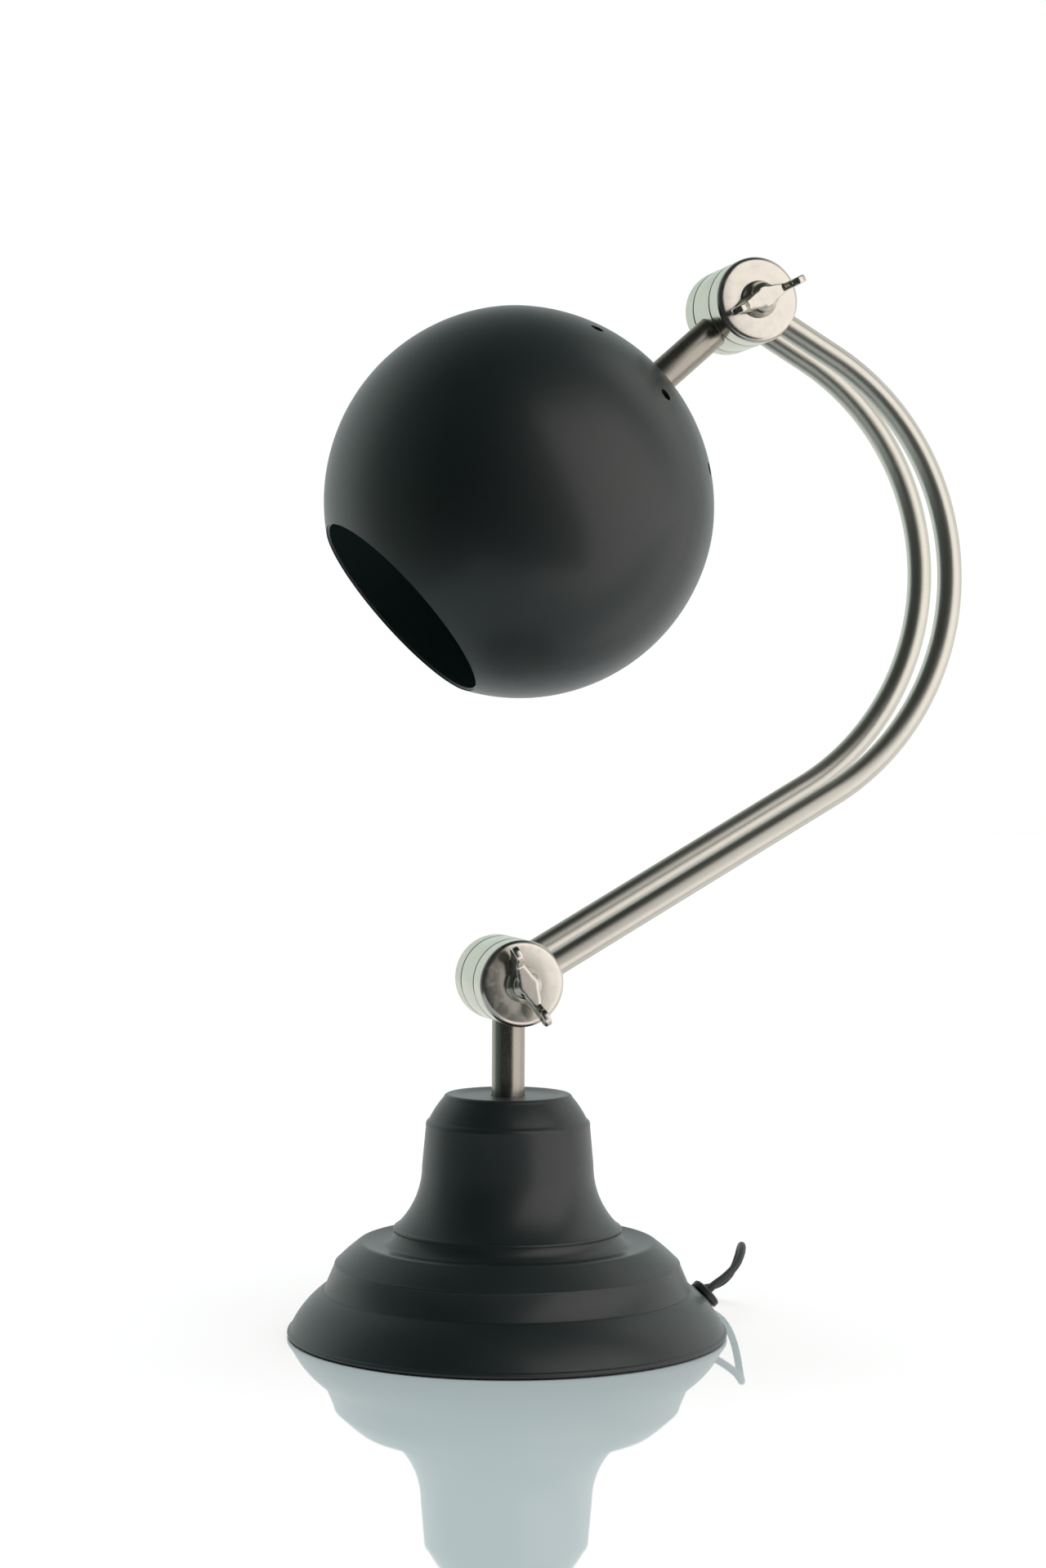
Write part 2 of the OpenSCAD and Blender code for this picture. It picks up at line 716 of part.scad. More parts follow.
// Half section of the globe's skin, d in from the outside
function skin(d, n) = concat(
    arc([0, pole + crown_r], crown_r - d, -90 + asin(bore_r / (crown_r - d)), -90 + crown_a, n),
    arc([knee_x, shade_reach - knee_z], knee_r - d, -90 + crown_a, -30, 8),
    arc([0, shade_reach], globe_r - d, -30, mouth_a - 90, 2 * n)
);
function turned(p) = [for (i = [len(p) - 1:-1:0]) p[i]];

module shade_globe() {
    color(black)
        in_shade()
            difference() {
                rotate_extrude($fn = 120) polygon(concat(skin(0, 24), turned(skin(globe_wall, 24))));
                for (k = [0:7])
                    rotate([0, 0, vent_turn + 45 * k])
                        translate([0, 0, shade_reach])
                            rotate([0, 180 - asin(vent_ring / globe_r), 0])
                                cylinder(r = vent_d / 2, h = globe_r + 5);
            }
}

module shade_washer() {
    color(steel) in_shade() ring(nipple_r + fit, ring_r, seat, nut_in);
}

module shade_nut() {
    color(steel)
        in_shade()
            translate([0, 0, nut_in])
                difference() {
                    cylinder(r = 16 / sqrt(3), h = shade_nut_t, $fn = 6);
                    translate([0, 0, -1]) cylinder(r = nipple_r + fit, h = shade_nut_t + 2);
                }
}

module stem_lead() {
    color(grey) in_shade() tube(stem_path, lead_r, 8, [1, 0, 0]);
}

module holder_cap() {
    color(black)
        in_shade() {
            ring(nipple_r + fit, holder_r, cap_in, cap_in + 2.5);
            ring(holder_r - 2, holder_r, cap_in + 2.5, skirt_in);
        }
}

module holder_skirt() {
    color(black)
        in_shade() {
            ring(holder_r - 2, holder_r, skirt_in, shell_in + shell_l - 1);
            ring(9.5, holder_r, shell_in + shell_l - 1, shell_in + shell_l + 1);
        }
}

module holder_insert() {
    color([0.9, 0.89, 0.86])
        in_shade() {
            translate([0, 0, insert_in]) cylinder(r = holder_r - 2 - fit, h = insert_t);
        }
}

module screw_shell() {
    color(brass) in_shade() ring(7.1, 7.8, shell_in, shell_in + shell_l - 2);
}

module centre_contact() {
    color(brass) in_shade() translate([0, 0, shell_in]) cylinder(r = 2.4, h = contact_t);
}

module bulb_cap() {
    color(steel)
        in_shade()
            translate([0, 0, bulb_in])
                rotate_extrude()
                    polygon([
                        [0, 0], [2.4, 0], [bulb_cap_r - 2.3, 2.2], [bulb_cap_r, 4],
                        [bulb_cap_r, bulb_cap_l - 2], [bulb_cap_r + 0.6, bulb_cap_l],
                        [bulb_cap_r + 0.6, bulb_cap_l + 1.5], [0, bulb_cap_l + 1.5]
                    ]);
}

module bulb_glass() {
    color([0.95, 0.94, 0.9])
        in_shade()
            rotate_extrude()
                polygon(concat(
                    [[neck_r, bulb_neck + 1.5], [neck_r + 0.6, bulb_neck + neck_l / 2]],
                    arc([0, ball_c], ball_r, -58, 90, 32),
                    arc([0, ball_c], ball_r - 1, 90, -58, 32),
                    [[neck_r - 0.4, bulb_neck + neck_l / 2], [neck_r - 1, bulb_neck + 1.5]]
                ));
}

module cord_gland() {
    color(black)
        difference() {
            at_gland()
                difference() {
                    union() {
                        translate([0, 0, -gland_in]) cylinder(r = 4.6, h = gland_in + 1);
                        translate([0, 0, -2]) cylinder(r = gland_d / 2 - 0.95, h = 3.2);
                        translate([0, 0, 1.2]) cylinder(r = gland_d / 2, h = gland_out - 1.8);
                        translate([0, 0, gland_out - 0.6])
                            cylinder(r1 = gland_d / 2, r2 = gland_d / 2 - 0.8, h = 0.6);
                    }
                    translate([0, 0, -gland_in - 1]) cylinder(r = lead_r + 0.1, h = gland_in + gland_out + 2);
                }
            difference() {
                rotate_extrude() polygon(concat([[0, z_top]], base_outer, [[0, rest_h]]));
                at_gland() translate([0, 0, -gland_in - 1]) cylinder(r = 4.65, h = 20);
            }
        }
}

module gland_clip() {
    color(steel) at_gland() ring(4.65, 5.1, -3.6, -2.6);
}

module base_lead() {
    color(grey) tube(base_path, lead_r, 8, [0, 1, 0.05]);
}

module cord_lead() {
    color(grey) tube(lead_path, cord_r, 8, [0.7, 0, -0.7]);
}

module cord_run() {
    color(grey) tube(run_path, cord_r, 8, [0, 0, 1]);
}

module cord_coil() {
    color(grey) tube(coil_path, cord_r, 6, [0, 0, 1]);
}

module cord_tail() {
    color(grey) tube(tail_path, cord_r, 8, [0, 0, 1]);
}

tie_in = coil_out - coil_pitch * coil_layer - cord_r - 0.1;
tie_out = coil_out + cord_r + 0.1;
tie_low = coil_z - cord_r - 0.1;
tie_high = coil_z + 3 * coil_pitch + cord_r + 0.1;
tie_w = tie_out - tie_in;
tie_h = tie_high - tie_low;
tie_t = 0.8;
module cord_ties() {
    color(black)
        for (a = [160, 340])
            translate([coil_at[0], coil_at[1], 0])
                rotate([0, 0, a])
                    translate([0, 3, 0])
                        rotate([90, 0, 0])
                            linear_extrude(6)
                                difference() {
                                    translate([tie_in - tie_t, tie_low - tie_t])
                                        square([tie_w + 2 * tie_t, tie_h + 2 * tie_t]);
                                    translate([tie_in, tie_low]) square([tie_w, tie_h]);
                                }
}

cover_t = 1.6;
boss_x = 15.5;
boss_y = switch_w / 2 - 4.5;
pin_z = switch_h - 3;
ear_h = switch_h - cover_t - pin_z + 2.3;
module switch_bosses(z0, z1) {
    for (s = [-1, 1])
        translate([s * boss_x, s * boss_y, z0]) cylinder(r = 2.6, h = z1 - z0);
}

module switch_bores() {
    for (s = [-1, 1])
        translate([s * boss_x, s * boss_y, -1]) {
            cylinder(r = 1.25, h = switch_h - 2.5);
            cylinder(r = 2.25, h = 2.8);
        }
    translate([-switch_l / 2 - 1, 0, cord_z]) rotate([0, 90, 0]) cylinder(r = cord_r + 0.1, h = switch_l + 2);
}

module switch_base() {
    color(black)
        at_switch()
            difference() {
                union() {
                    difference() {
                        rounded_plate(switch_l, switch_w, cord_z, 5);
                        translate([0, 0, cover_t])
                            rounded_plate(switch_l - 2 * switch_wall, switch_w - 4, cord_z, 3);
                    }
                    switch_bosses(1, cord_z);
                }
                switch_bores();
            }
}

module switch_cover() {
    color(black)
        at_switch()
            difference() {
                union() {
                    translate([0, 0, cord_z])
                        difference() {
                            rounded_plate(switch_l, switch_w, switch_h - cord_z, 5);
                            translate([0, 0, -1])
                                rounded_plate(switch_l - 2 * switch_wall, switch_w - 4,
                                    switch_h - cord_z + 1 - cover_t, 3);
                        }
                    switch_bosses(cord_z, switch_h - cover_t + 0.5);
                    for (s = [-1, 1])
                        translate([-2.2, s * 5.3 - 0.9, pin_z - 2]) cube([4.4, 1.8, ear_h]);
                }
                switch_bores();
                translate([-8.3, -4.3, switch_h - cover_t - 0.5]) cube([16.6, 8.6, 3]);
                translate([0, 10, pin_z]) rotate([90, 0, 0]) cylinder(r = 1.05, h = 20);
            }
}

module switch_rocker() {
    color(grey)
        at_switch()
            translate([0, 0, pin_z])
                rotate([0, -rocker_tilt, 0]) {
                    translate([0, 3.9, 0])
                        rotate([90, 0, 0])
                            linear_extrude(7.8)
                                polygon(concat(
                                    [[-7.4, -1], [-3, -2.5], [3, -2.5], [7.4, -1]],
                                    bulge([7.4, 3.8], [-7.4, 3.8], -0.8, 12)
                                ));
                    translate([0, 5.6, 0]) rotate([90, 0, 0]) cylinder(r = 1, h = 11.2);
                }
}

module switch_contacts() {
    color(brass)
        at_switch()
            for (s = [-1, 1]) {
                translate([s * 7 - 4, -2.5, cover_t]) cube([8, 5, 0.8]);
                translate([s * 3.4 - 0.4, -2.5, cover_t]) cube([0.8, 5, 3.6]);
            }
}

module switch_screws() {
    color(steel)
        at_switch()
            for (s = [-1, 1])
                translate([s * boss_x, s * boss_y, 0]) {
                    translate([0, 0, 0.8]) cylinder(r = 2.1, h = 1);
                    translate([0, 0, 1.8]) cylinder(r = 1.2, h = switch_h - 6.5);
                }
}

module plug_body() {
    color(black)
        at_plug() {
            translate([nose_l + plug_l / 2, 0, 0]) rounded_plate(plug_l, plug_w, 12, 3.5);
            translate([0, 0, cord_z]) rotate([0, 90, 0]) cylinder(r1 = 2.5, r2 = 3.8, h = nose_l);
        }
}

module plug_blades() {
    color(steel)
        at_plug()
            for (s = [-1, 1])
                translate([nose_l + plug_l, s * 6.35 - 0.75, cord_z - 3.2]) cube([blade_l, 1.5, 6.4]);
}

// Least gap of the coil to itself, over points at least a third of a turn apart
echo(coil_gap = min([  // cord_coil
        for (i = [0:2:coil_steps], j = [i + 8:coil_steps])
            norm(coil_body[i] - coil_body[j]) - cord_d
    ]));

base_shell();
base_weight();
base_plate();
base_pad();
post_tube();
post_nuts();
post_washers();
lower_centre_knuckle();
base_lead();
cord_gland();
gland_clip();
front_arm_tube();
rear_arm_tube();
arm_lead();
lower_front_knuckle();
lower_rear_knuckle();
lower_bolt();
lower_friction_washers();
lower_wing_nut();
upper_front_knuckle();
upper_rear_knuckle();
upper_bolt();
upper_friction_washers();
upper_wing_nut();
upper_centre_knuckle();
shade_stem();
shade_nipple();
shade_globe();
shade_washer();
shade_nut();
stem_lead();
holder_cap();
holder_skirt();
holder_insert();
screw_shell();
centre_contact();
bulb_cap();
bulb_glass();
cord_lead();
cord_run();
cord_coil();
cord_tail();
cord_ties();
switch_base();
switch_cover();
switch_rocker();
switch_contacts();
switch_screws();
plug_body();
plug_blades();
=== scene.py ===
# %% [markdown]
# # An adjustable table lamp
# The lamp has a spun black base, a nickel post, a twin tube arm and a black globe shade.
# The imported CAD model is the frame: it fixes every size, place and joint. This lesson
# dresses the frame, piece by piece, in meshes and finishes that look like the real lamp.

# %% Load the frame
import math
import bpy
import bmesh
from mathutils import Matrix, Vector


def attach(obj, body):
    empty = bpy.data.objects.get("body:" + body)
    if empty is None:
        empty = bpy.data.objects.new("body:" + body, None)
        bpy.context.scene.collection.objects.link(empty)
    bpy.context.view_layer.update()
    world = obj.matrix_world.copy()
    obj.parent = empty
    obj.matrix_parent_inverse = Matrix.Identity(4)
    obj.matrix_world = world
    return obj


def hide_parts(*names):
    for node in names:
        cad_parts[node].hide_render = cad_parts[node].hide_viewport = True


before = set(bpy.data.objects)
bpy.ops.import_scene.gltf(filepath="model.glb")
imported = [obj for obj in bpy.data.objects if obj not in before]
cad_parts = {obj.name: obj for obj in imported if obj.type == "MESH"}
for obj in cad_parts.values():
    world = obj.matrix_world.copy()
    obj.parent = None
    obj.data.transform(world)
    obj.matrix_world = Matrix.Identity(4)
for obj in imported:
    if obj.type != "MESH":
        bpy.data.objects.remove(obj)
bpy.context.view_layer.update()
MM = 0.001

# %% [markdown]
# ## The camera
# The photograph was taken from a little to the left of the lamp's front, at about the
# height of the arm's bend, with a long lens. A camera is a place, a direction and a lens,
# so these few numbers are all that is needed, and they were solved from the rim of the
# base, the two pivots and the globe.

# %% Camera
look_from, distance, height = math.radians(-16.04), 1.0986, 0.22464
pitch, yaw, roll = math.radians(0.70), math.radians(-0.27), math.radians(0.26)
focal_pixels, frame_pixels = 3500, 1918
heading = look_from + yaw
ahead = Vector((-math.sin(heading) * math.cos(pitch), math.cos(heading) * math.cos(pitch),
                -math.sin(pitch)))
level = Vector((math.cos(heading), math.sin(heading), 0))
above = level.cross(ahead)
right = level * math.cos(roll) + above * math.sin(roll)
up = above * math.cos(roll) - level * math.sin(roll)
camera = bpy.data.objects.new("camera", bpy.data.cameras.new("camera"))
bpy.context.scene.collection.objects.link(camera)
camera.data.sensor_fit = "VERTICAL"
camera.data.sensor_height = 36
camera.data.lens = camera.data.sensor_height * focal_pixels / frame_pixels
turn = Matrix((right, up, -ahead)).transposed().to_4x4()
camera.matrix_world = Matrix.Translation(
    (distance * math.sin(look_from), -distance * math.cos(look_from), height)) @ turn
bpy.context.scene.camera = camera
print("camera at", [round(x, 3) for x in camera.matrix_world.translation])

# %% [markdown]
# ## Finishes: the helpers
# Every finish here is a Principled shader with a little node work: a coordinate, one or
# two noises, a bump. A few helpers keep that short. Object coordinates are in metres, so
# a noise scale of 2000 gives grains of about half a millimetre.

# %% Node helpers
def put(tree, kind, inputs=None, **settings):
    """Add a node, set its properties, and fill or link its inputs by name or number."""
    made = tree.nodes.new(kind)
    for key, value in settings.items():
        setattr(made, key, value)
    for key, value in (inputs or {}).items():
        if isinstance(value, bpy.types.NodeSocket):
            tree.links.new(value, made.inputs[key])
        else:
            made.inputs[key].default_value = value
    return made


def new_finish(name, **sockets):
    """An empty material with one Principled shader, whose constant sockets are set."""
    finish = bpy.data.materials.new(name)
    finish.use_nodes = True
    tree = finish.node_tree
    tree.nodes.clear()
    skin = put(tree, "ShaderNodeBsdfPrincipled", sockets)
    put(tree, "ShaderNodeOutputMaterial", {"Surface": skin.outputs[0]})
    return finish, tree, skin


def spread(tree, value, low, high, start=0.3, end=0.7):
    """Map a noise onto the range low to high."""
    return put(tree, "ShaderNodeMapRange", {"Value": value, "From Min": start, "From Max": end,
                                            "To Min": low, "To Max": high}).outputs[0]


def noise(tree, where, scale, detail=2.0):
    return put(tree, "ShaderNodeTexNoise",
               {"Vector": where, "Scale": scale, "Detail": detail}).outputs[0]


def tint(tree, factor, first, second):
    blend = put(tree, "ShaderNodeMix", {0: factor, 6: first + (1,), 7: second + (1,)},
                data_type="RGBA")
    return blend.outputs[2]


def relief(tree, skin, grain, strength, depth):
    bump = put(tree, "ShaderNodeBump", {"Height": grain, "Strength": strength, "Distance": depth})
    tree.links.new(bump.outputs[0], skin.inputs["Normal"])


print("node helpers ready")

# %% [markdown]
# ## Powder paint, plastics, felt and the other even finishes
# The base and the globe wear a fine black powder coat: matte, nearly even, with a grain
# that only shows close by and a thin smoother coat that catches light at the rims.
# Plastics, ceramic, brass, cast iron and felt work the same way with other numbers, so one
# function makes them all: a slow noise shifts the colour, a fine one moves the roughness
# and the bump. The inside of the globe is given a greyer colour than its outside: painted
# light, which brightens the inside as the light that the white table throws in at the mouth
# would. An attribute of the globe's mesh tells inside and outside apart.

# %% Even finishes
def even_finish(name, dark, light, rough, grain, strength, depth, cloud=55.0, **sockets):
    finish, tree, skin = new_finish(name, **sockets)
    where = put(tree, "ShaderNodeTexCoord").outputs["Object"]
    slow, fine = noise(tree, where, cloud, 3.0), noise(tree, where, grain, 2.0)
    tree.links.new(tint(tree, slow, dark, light), skin.inputs["Base Color"])
    tree.links.new(spread(tree, fine, rough[0], rough[1]), skin.inputs["Roughness"])
    relief(tree, skin, fine, strength, depth)
    return finish


FINISH = {
    "black_paint": even_finish("black powder paint", (0.0012, 0.0058, 0.0064),
                               (0.0020, 0.0074, 0.0080), (0.50, 0.58), 2300, 0.12, 0.0002,
                               **{"Specular IOR Level": 0.58, "Coat Weight": 0.35,
                                  "Coat Roughness": 0.24}),
    "steel": even_finish("zinc steel", (0.52, 0.53, 0.55), (0.66, 0.66, 0.65), (0.28, 0.42),
                         900, 0.1, 0.0002, 140, Metallic=1.0),
    "iron": even_finish("cast iron", (0.035, 0.034, 0.033), (0.07, 0.066, 0.062), (0.6, 0.85),
                        700, 0.5, 0.0005, 90),
    "felt": even_finish("black felt", (0.012, 0.012, 0.012), (0.03, 0.03, 0.03), (0.85, 1.0),
                        3500, 0.8, 0.0006, 400),
    "fibre": even_finish("dark fibre", (0.012, 0.011, 0.01), (0.03, 0.026, 0.022), (0.6, 0.8),
                         2600, 0.3, 0.0002, 300),
    "black_plastic": even_finish("black moulded plastic", (0.010, 0.014, 0.0155),
                                 (0.016, 0.021, 0.0225), (0.34, 0.46), 2900, 0.14, 0.00015),
    "rocker_plastic": even_finish("dark grey plastic", (0.04, 0.04, 0.042),
                                  (0.055, 0.055, 0.057), (0.26, 0.36), 2900, 0.08, 0.0001),
    "ceramic": even_finish("glazed ceramic", (0.78, 0.76, 0.71), (0.86, 0.85, 0.81),
                           (0.12, 0.22), 500, 0.05, 0.0002, 80),
    "brass": even_finish("brass", (0.68, 0.48, 0.2), (0.78, 0.58, 0.28), (0.25, 0.4), 800,
                         0.1, 0.0002, 150, Metallic=1.0),
}
print("even finishes:", ", ".join(FINISH))

# %% Globe paint
globe_paint_and_painted_light = FINISH["black_paint"].copy()
globe_paint_and_painted_light.name = "black paint, painted light inside"
tree = globe_paint_and_painted_light.node_tree
skin = next(n for n in tree.nodes if n.type == "BSDF_PRINCIPLED")
outer_tint = skin.inputs["Base Color"].links[0].from_socket
# painted light: the grey inside brightens the globe's inside as the light that the white table throws in
# at the mouth would
inside_painted_light = (0.10, 0.16, 0.16, 1)
within = put(tree, "ShaderNodeAttribute", attribute_name="inside").outputs["Fac"]
globe_colour_and_painted_light = put(tree, "ShaderNodeMix", {0: within, 6: outer_tint, 7: inside_painted_light}, data_type="RGBA")
tree.links.new(globe_colour_and_painted_light.outputs[2], skin.inputs["Base Color"])
FINISH["globe_paint_and_painted_light"] = globe_paint_and_painted_light
print("globe paint ready")

# %% [markdown]
# ## Nickel, brushed or turned
# Plated tube is brushed along its length and a knuckle is turned on a lathe, so its marks
# run round it. Both patterns need to know the piece's own axis. The meshes below carry an
# attribute called "local", the place of each point in the piece's own lathe or tube
# frame: stretching a noise along its Z gives brushing, and reading only the distance
# from the axis and Z gives turning.

# %% Nickel
def nickel(name, turned, pale, warm, rough, strength):
    finish, tree, skin = new_finish(name, Metallic=1.0)
    local = put(tree, "ShaderNodeAttribute", attribute_name="local").outputs["Vector"]
    if turned:
        part = put(tree, "ShaderNodeSeparateXYZ", {0: local}).outputs
        out = put(tree, "ShaderNodeMath", {0: part[0], 1: part[0]}, operation="MULTIPLY").outputs[0]
        out = put(tree, "ShaderNodeMath", {0: part[1], 1: part[1], 2: out},
                  operation="MULTIPLY_ADD").outputs[0]
        out = put(tree, "ShaderNodeMath", {0: out}, operation="SQRT").outputs[0]
        where = put(tree, "ShaderNodeCombineXYZ", {0: out, 1: part[2]}).outputs[0]
    else:
        where = put(tree, "ShaderNodeVectorMath", {0: local, 1: (1, 1, 0.012)},
                    operation="MULTIPLY").outputs[0]
    lines = noise(tree, where, 7000.0, 3.0)
    slow = noise(tree, put(tree, "ShaderNodeTexCoord").outputs["Object"], 90.0, 2.0)
    tree.links.new(tint(tree, slow, pale, warm), skin.inputs["Base Color"])
    smudge = spread(tree, noise(tree, local, 260.0, 4.0), 0.0, 0.1 if turned else 0.03, 0.45, 0.75)
    even = spread(tree, lines, rough[0], rough[1])
    both = put(tree, "ShaderNodeMath", {0: even, 1: smudge}, operation="ADD").outputs[0]
    tree.links.new(both, skin.inputs["Roughness"])
    skin.inputs["Specular Tint"].default_value = (0.84, 0.88, 0.82, 1)
    relief(tree, skin, lines, strength, 0.00004)
    return finish


FINISH["turned_nickel"] = nickel("turned satin nickel", True, (0.64, 0.605, 0.56),
                                 (0.58, 0.545, 0.50), (0.15, 0.22), 0.01)
FINISH["brushed_nickel"] = nickel("brushed nickel tube", False, (0.63, 0.61, 0.56),
                                  (0.60, 0.58, 0.53), (0.31, 0.36), 0.001)
# painted shade: the post and stem get a much darker copy of the nickel, which stands in for the dark
# room that their round sides reflect
FINISH["shaded_post_nickel"] = nickel("brushed nickel post, darkened as painted shade", False, (0.36, 0.335, 0.30),
                               (0.32, 0.295, 0.26), (0.2, 0.3), 0.06)
print("nickel finishes ready")

# %% [markdown]
# ## Opal glass and cord sheath
# The bulb is off: its white glass scatters a little light inside, which subsurface
# scattering gives. The cord's sheath is soft dark plastic, a little rough.

# %% Opal glass and sheath
opal, tree, skin = new_finish("opal glass", Roughness=0.14, **{"Subsurface Weight": 0.4,
                                                               "Subsurface Scale": 0.004})
where = put(tree, "ShaderNodeTexCoord").outputs["Object"]
tree.links.new(tint(tree, noise(tree, where, 70.0), (0.84, 0.82, 0.77), (0.9, 0.89, 0.85)),
               skin.inputs["Base Color"])
relief(tree, skin, noise(tree, where, 160.0), 0.02, 0.0003)
FINISH["opal"] = opal
FINISH["cord"] = even_finish("cord sheath", (0.032, 0.040, 0.042), (0.047, 0.056, 0.059),
                             (0.42, 0.56), 1500, 0.18, 0.00015, 220)
print("opal glass and cord sheath ready")

# %% [markdown]
# ## The mains cord
# The cord leaves the gland, drops to the table behind the base, runs through the inline
# switch and is wound up for storage in a neat coil that the base hides. A Bezier curve
# with automatic handles through the CAD route keeps it one smooth line.

# %% Cord route
def heading_vector(degrees):
    return Vector((math.cos(math.radians(degrees)), math.sin(math.radians(degrees)), 0))


cord_r = 1.5
gland_at = Vector((79.1746, 0, 9.5))
gland_tilt = 42
gland_way = Vector((math.cos(math.radians(gland_tilt)), 0, math.sin(math.radians(gland_tilt))))
gland_nose = gland_at + 4 * gland_way
switch_at, switch_way = Vector((78, 62, 6)), heading_vector(115)
switch_far = switch_at + 46 * switch_way
coil_at, coil_out, coil_pitch, coil_a0, coil_a1 = (24, 122), 24.4, 3.5, 23.5, 90
coil_turns = 14 + (coil_a1 - coil_a0) / 360
coil_layer = coil_turns / 4
plug_at, plug_way = Vector((-13.3, 134.2, 6)), heading_vector(253.7)


def climb(t):
    f = max(0.0, min(1.0, t + 0.5))
    return f * f * (3 - 2 * f)


def coil_point(t):
    k = min(3, int(t / coil_layer))
    f = t / coil_layer - k
    r = coil_out - coil_pitch * coil_layer * (f if k % 2 == 0 else 1 - f)
    a = math.radians(coil_a0 + 360 * t)
    rise = sum(climb((t - j * coil_layer) * 2) for j in (1, 2, 3))
    return Vector((coil_at[0] + r * math.cos(a), coil_at[1] + r * math.sin(a),
                   2.6 + coil_pitch * rise))


steps = math.ceil(coil_turns * 24)
coil = [coil_point(coil_turns * i / steps) for i in range(steps + 1)]
a0, a1 = math.radians(coil_a0), math.radians(coil_a1)
coil_in = coil[0] + 3 * Vector((math.sin(a0), -math.cos(a0), 0))
coil_end = coil[-1] + 3 * Vector((-math.sin(a1), math.cos(a1), 0))
drop = [(88.2, .15, 16.6), (91.7, .9, 19), (94.9, 2.4, 21.5), (97.5, 5, 24.2),
        (99.7, 9, 26.3), (101.5, 14.2, 26.8), (103, 20, 24.7), (104.1, 25.6, 20.2),
        (104.3, 30.6, 15), (103.4, 35.2, 10.3), (101.2, 39.6, 6.8), (97.5, 43.4, 4.8),
        (92.9, 46.2, 4.1), (88.2, 48.8, 4.4), (83.7, 52.4, 5.3)]
approach = [(54.2, 113.6, 5.3), (51.8, 119.2, 3.9), (49.7, 124.1, 2.8)]
tail = [(15, 146.4, 12.3), (9, 146.4, 10), (3.2, 146.4, 7.8), (-2.4, 146.1, 6.3),
        (-6.9, 144.5, 5.8), (-10.4, 141.3, 5.8)]
route = ([gland_nose, gland_nose + 3 * gland_way] + drop
         + [switch_at - 5 * switch_way, switch_at, switch_at + 15 * switch_way,
            switch_far - 15 * switch_way, switch_far, switch_far + 4 * switch_way]
         + approach + [coil_in] + coil + [coil_end] + tail
         + [plug_at - 3 * plug_way, plug_at])
route = [Vector(p) * MM for p in route]

# %% Cord curve
sheath = bpy.data.curves.new("mains_cord", "CURVE")
sheath.dimensions = "3D"
sheath.resolution_u = 4
sheath.bevel_depth = cord_r * MM
sheath.bevel_resolution = 3
sheath.use_fill_caps = True
line = sheath.splines.new("BEZIER")
line.bezier_points.add(len(route) - 1)
for knot, place in zip(line.bezier_points, route):
    knot.co = place
    knot.handle_left_type = knot.handle_right_type = "AUTO"
mains_cord = bpy.data.objects.new("mains_cord", sheath)
bpy.context.scene.collection.objects.link(mains_cord)
sheath.materials.append(FINISH["cord"])
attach(mains_cord, "base")
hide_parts("cord_lead", "cord_run", "cord_coil", "cord_tail")
print("cord curve made")

# %% [markdown]
# ## Meshes: turning, sweeping and cutting
# Most of the lamp is turned: a half section spun round an axis. `lathe` does that and
# stores the "local" attribute for the nickel. Sections are written in millimetres with
# the same two curves as the CAD: a plain arc, and an arc that bulges between two points.
# `rounded` puts a fillet on each corner of a section, because a real edge is never sharp.

# %% Sections
def arc(centre, radius, start, end, n=16):
    angles = [math.radians(start + (end - start) * i / n) for i in range(n + 1)]
    return [(centre[0] + radius * math.cos(a), centre[1] + radius * math.sin(a)) for a in angles]


def bulge(p, q, s, n=16):
    p, q = Vector(p), Vector(q)
    length = (q - p).length
    r = (length * length / 4 + s * s) / (2 * s)
    u = (q - p) / length
    v = Vector((-u.y, u.x))
    c, half = (p + q) / 2 - v * (r - s), math.asin(length / 2 / r)
    angles = [half * (2 * i / n - 1) for i in range(n + 1)]
    return [tuple(c + r * (v * math.cos(f) + u * math.sin(f))) for f in angles]


def rounded(corners, n=5):
    """A closed section of (r, z, fillet) corners, with each fillet drawn as n steps."""
    points = []
    for i, (x, z, fillet) in enumerate(corners):
        here = Vector((x, z))
        if not fillet:
            points.append((x, z))
            continue
        back = (Vector(corners[i - 1][:2]) - here).normalized()
        on = (Vector(corners[(i + 1) % len(corners)][:2]) - here).normalized()
        opening = back.angle(on)
        reach = fillet / math.tan(opening / 2)
        centre = here + (back + on).normalized() * fillet / math.sin(opening / 2)
        first, last = here + back * reach - centre, here + on * reach - centre
        for k in range(n + 1):
            spoke = first.lerp(last, k / n).normalized() * fillet
            points.append(tuple(centre + spoke))
    return points


print("section helpers ready")

# %% Lathe and finish of a mesh
def settle(obj, sharp=32):
    """Merge doubles, point the faces outwards, and shade smooth between sharp edges."""
    mesh = obj.data
    work = bmesh.new()
    work.from_mesh(mesh)
    bmesh.ops.remove_doubles(work, verts=work.verts, dist=1e-6)
    bmesh.ops.recalc_face_normals(work, faces=work.faces)
    work.to_mesh(mesh)
    work.free()
    mesh.shade_smooth()
    mesh.set_sharp_from_angle(angle=math.radians(sharp))


def new_piece(name, mesh, finish):
    obj = bpy.data.objects.new(name, mesh)
    bpy.context.scene.collection.objects.link(obj)
    mesh.materials.clear()
    mesh.materials.append(FINISH[finish])
    return obj


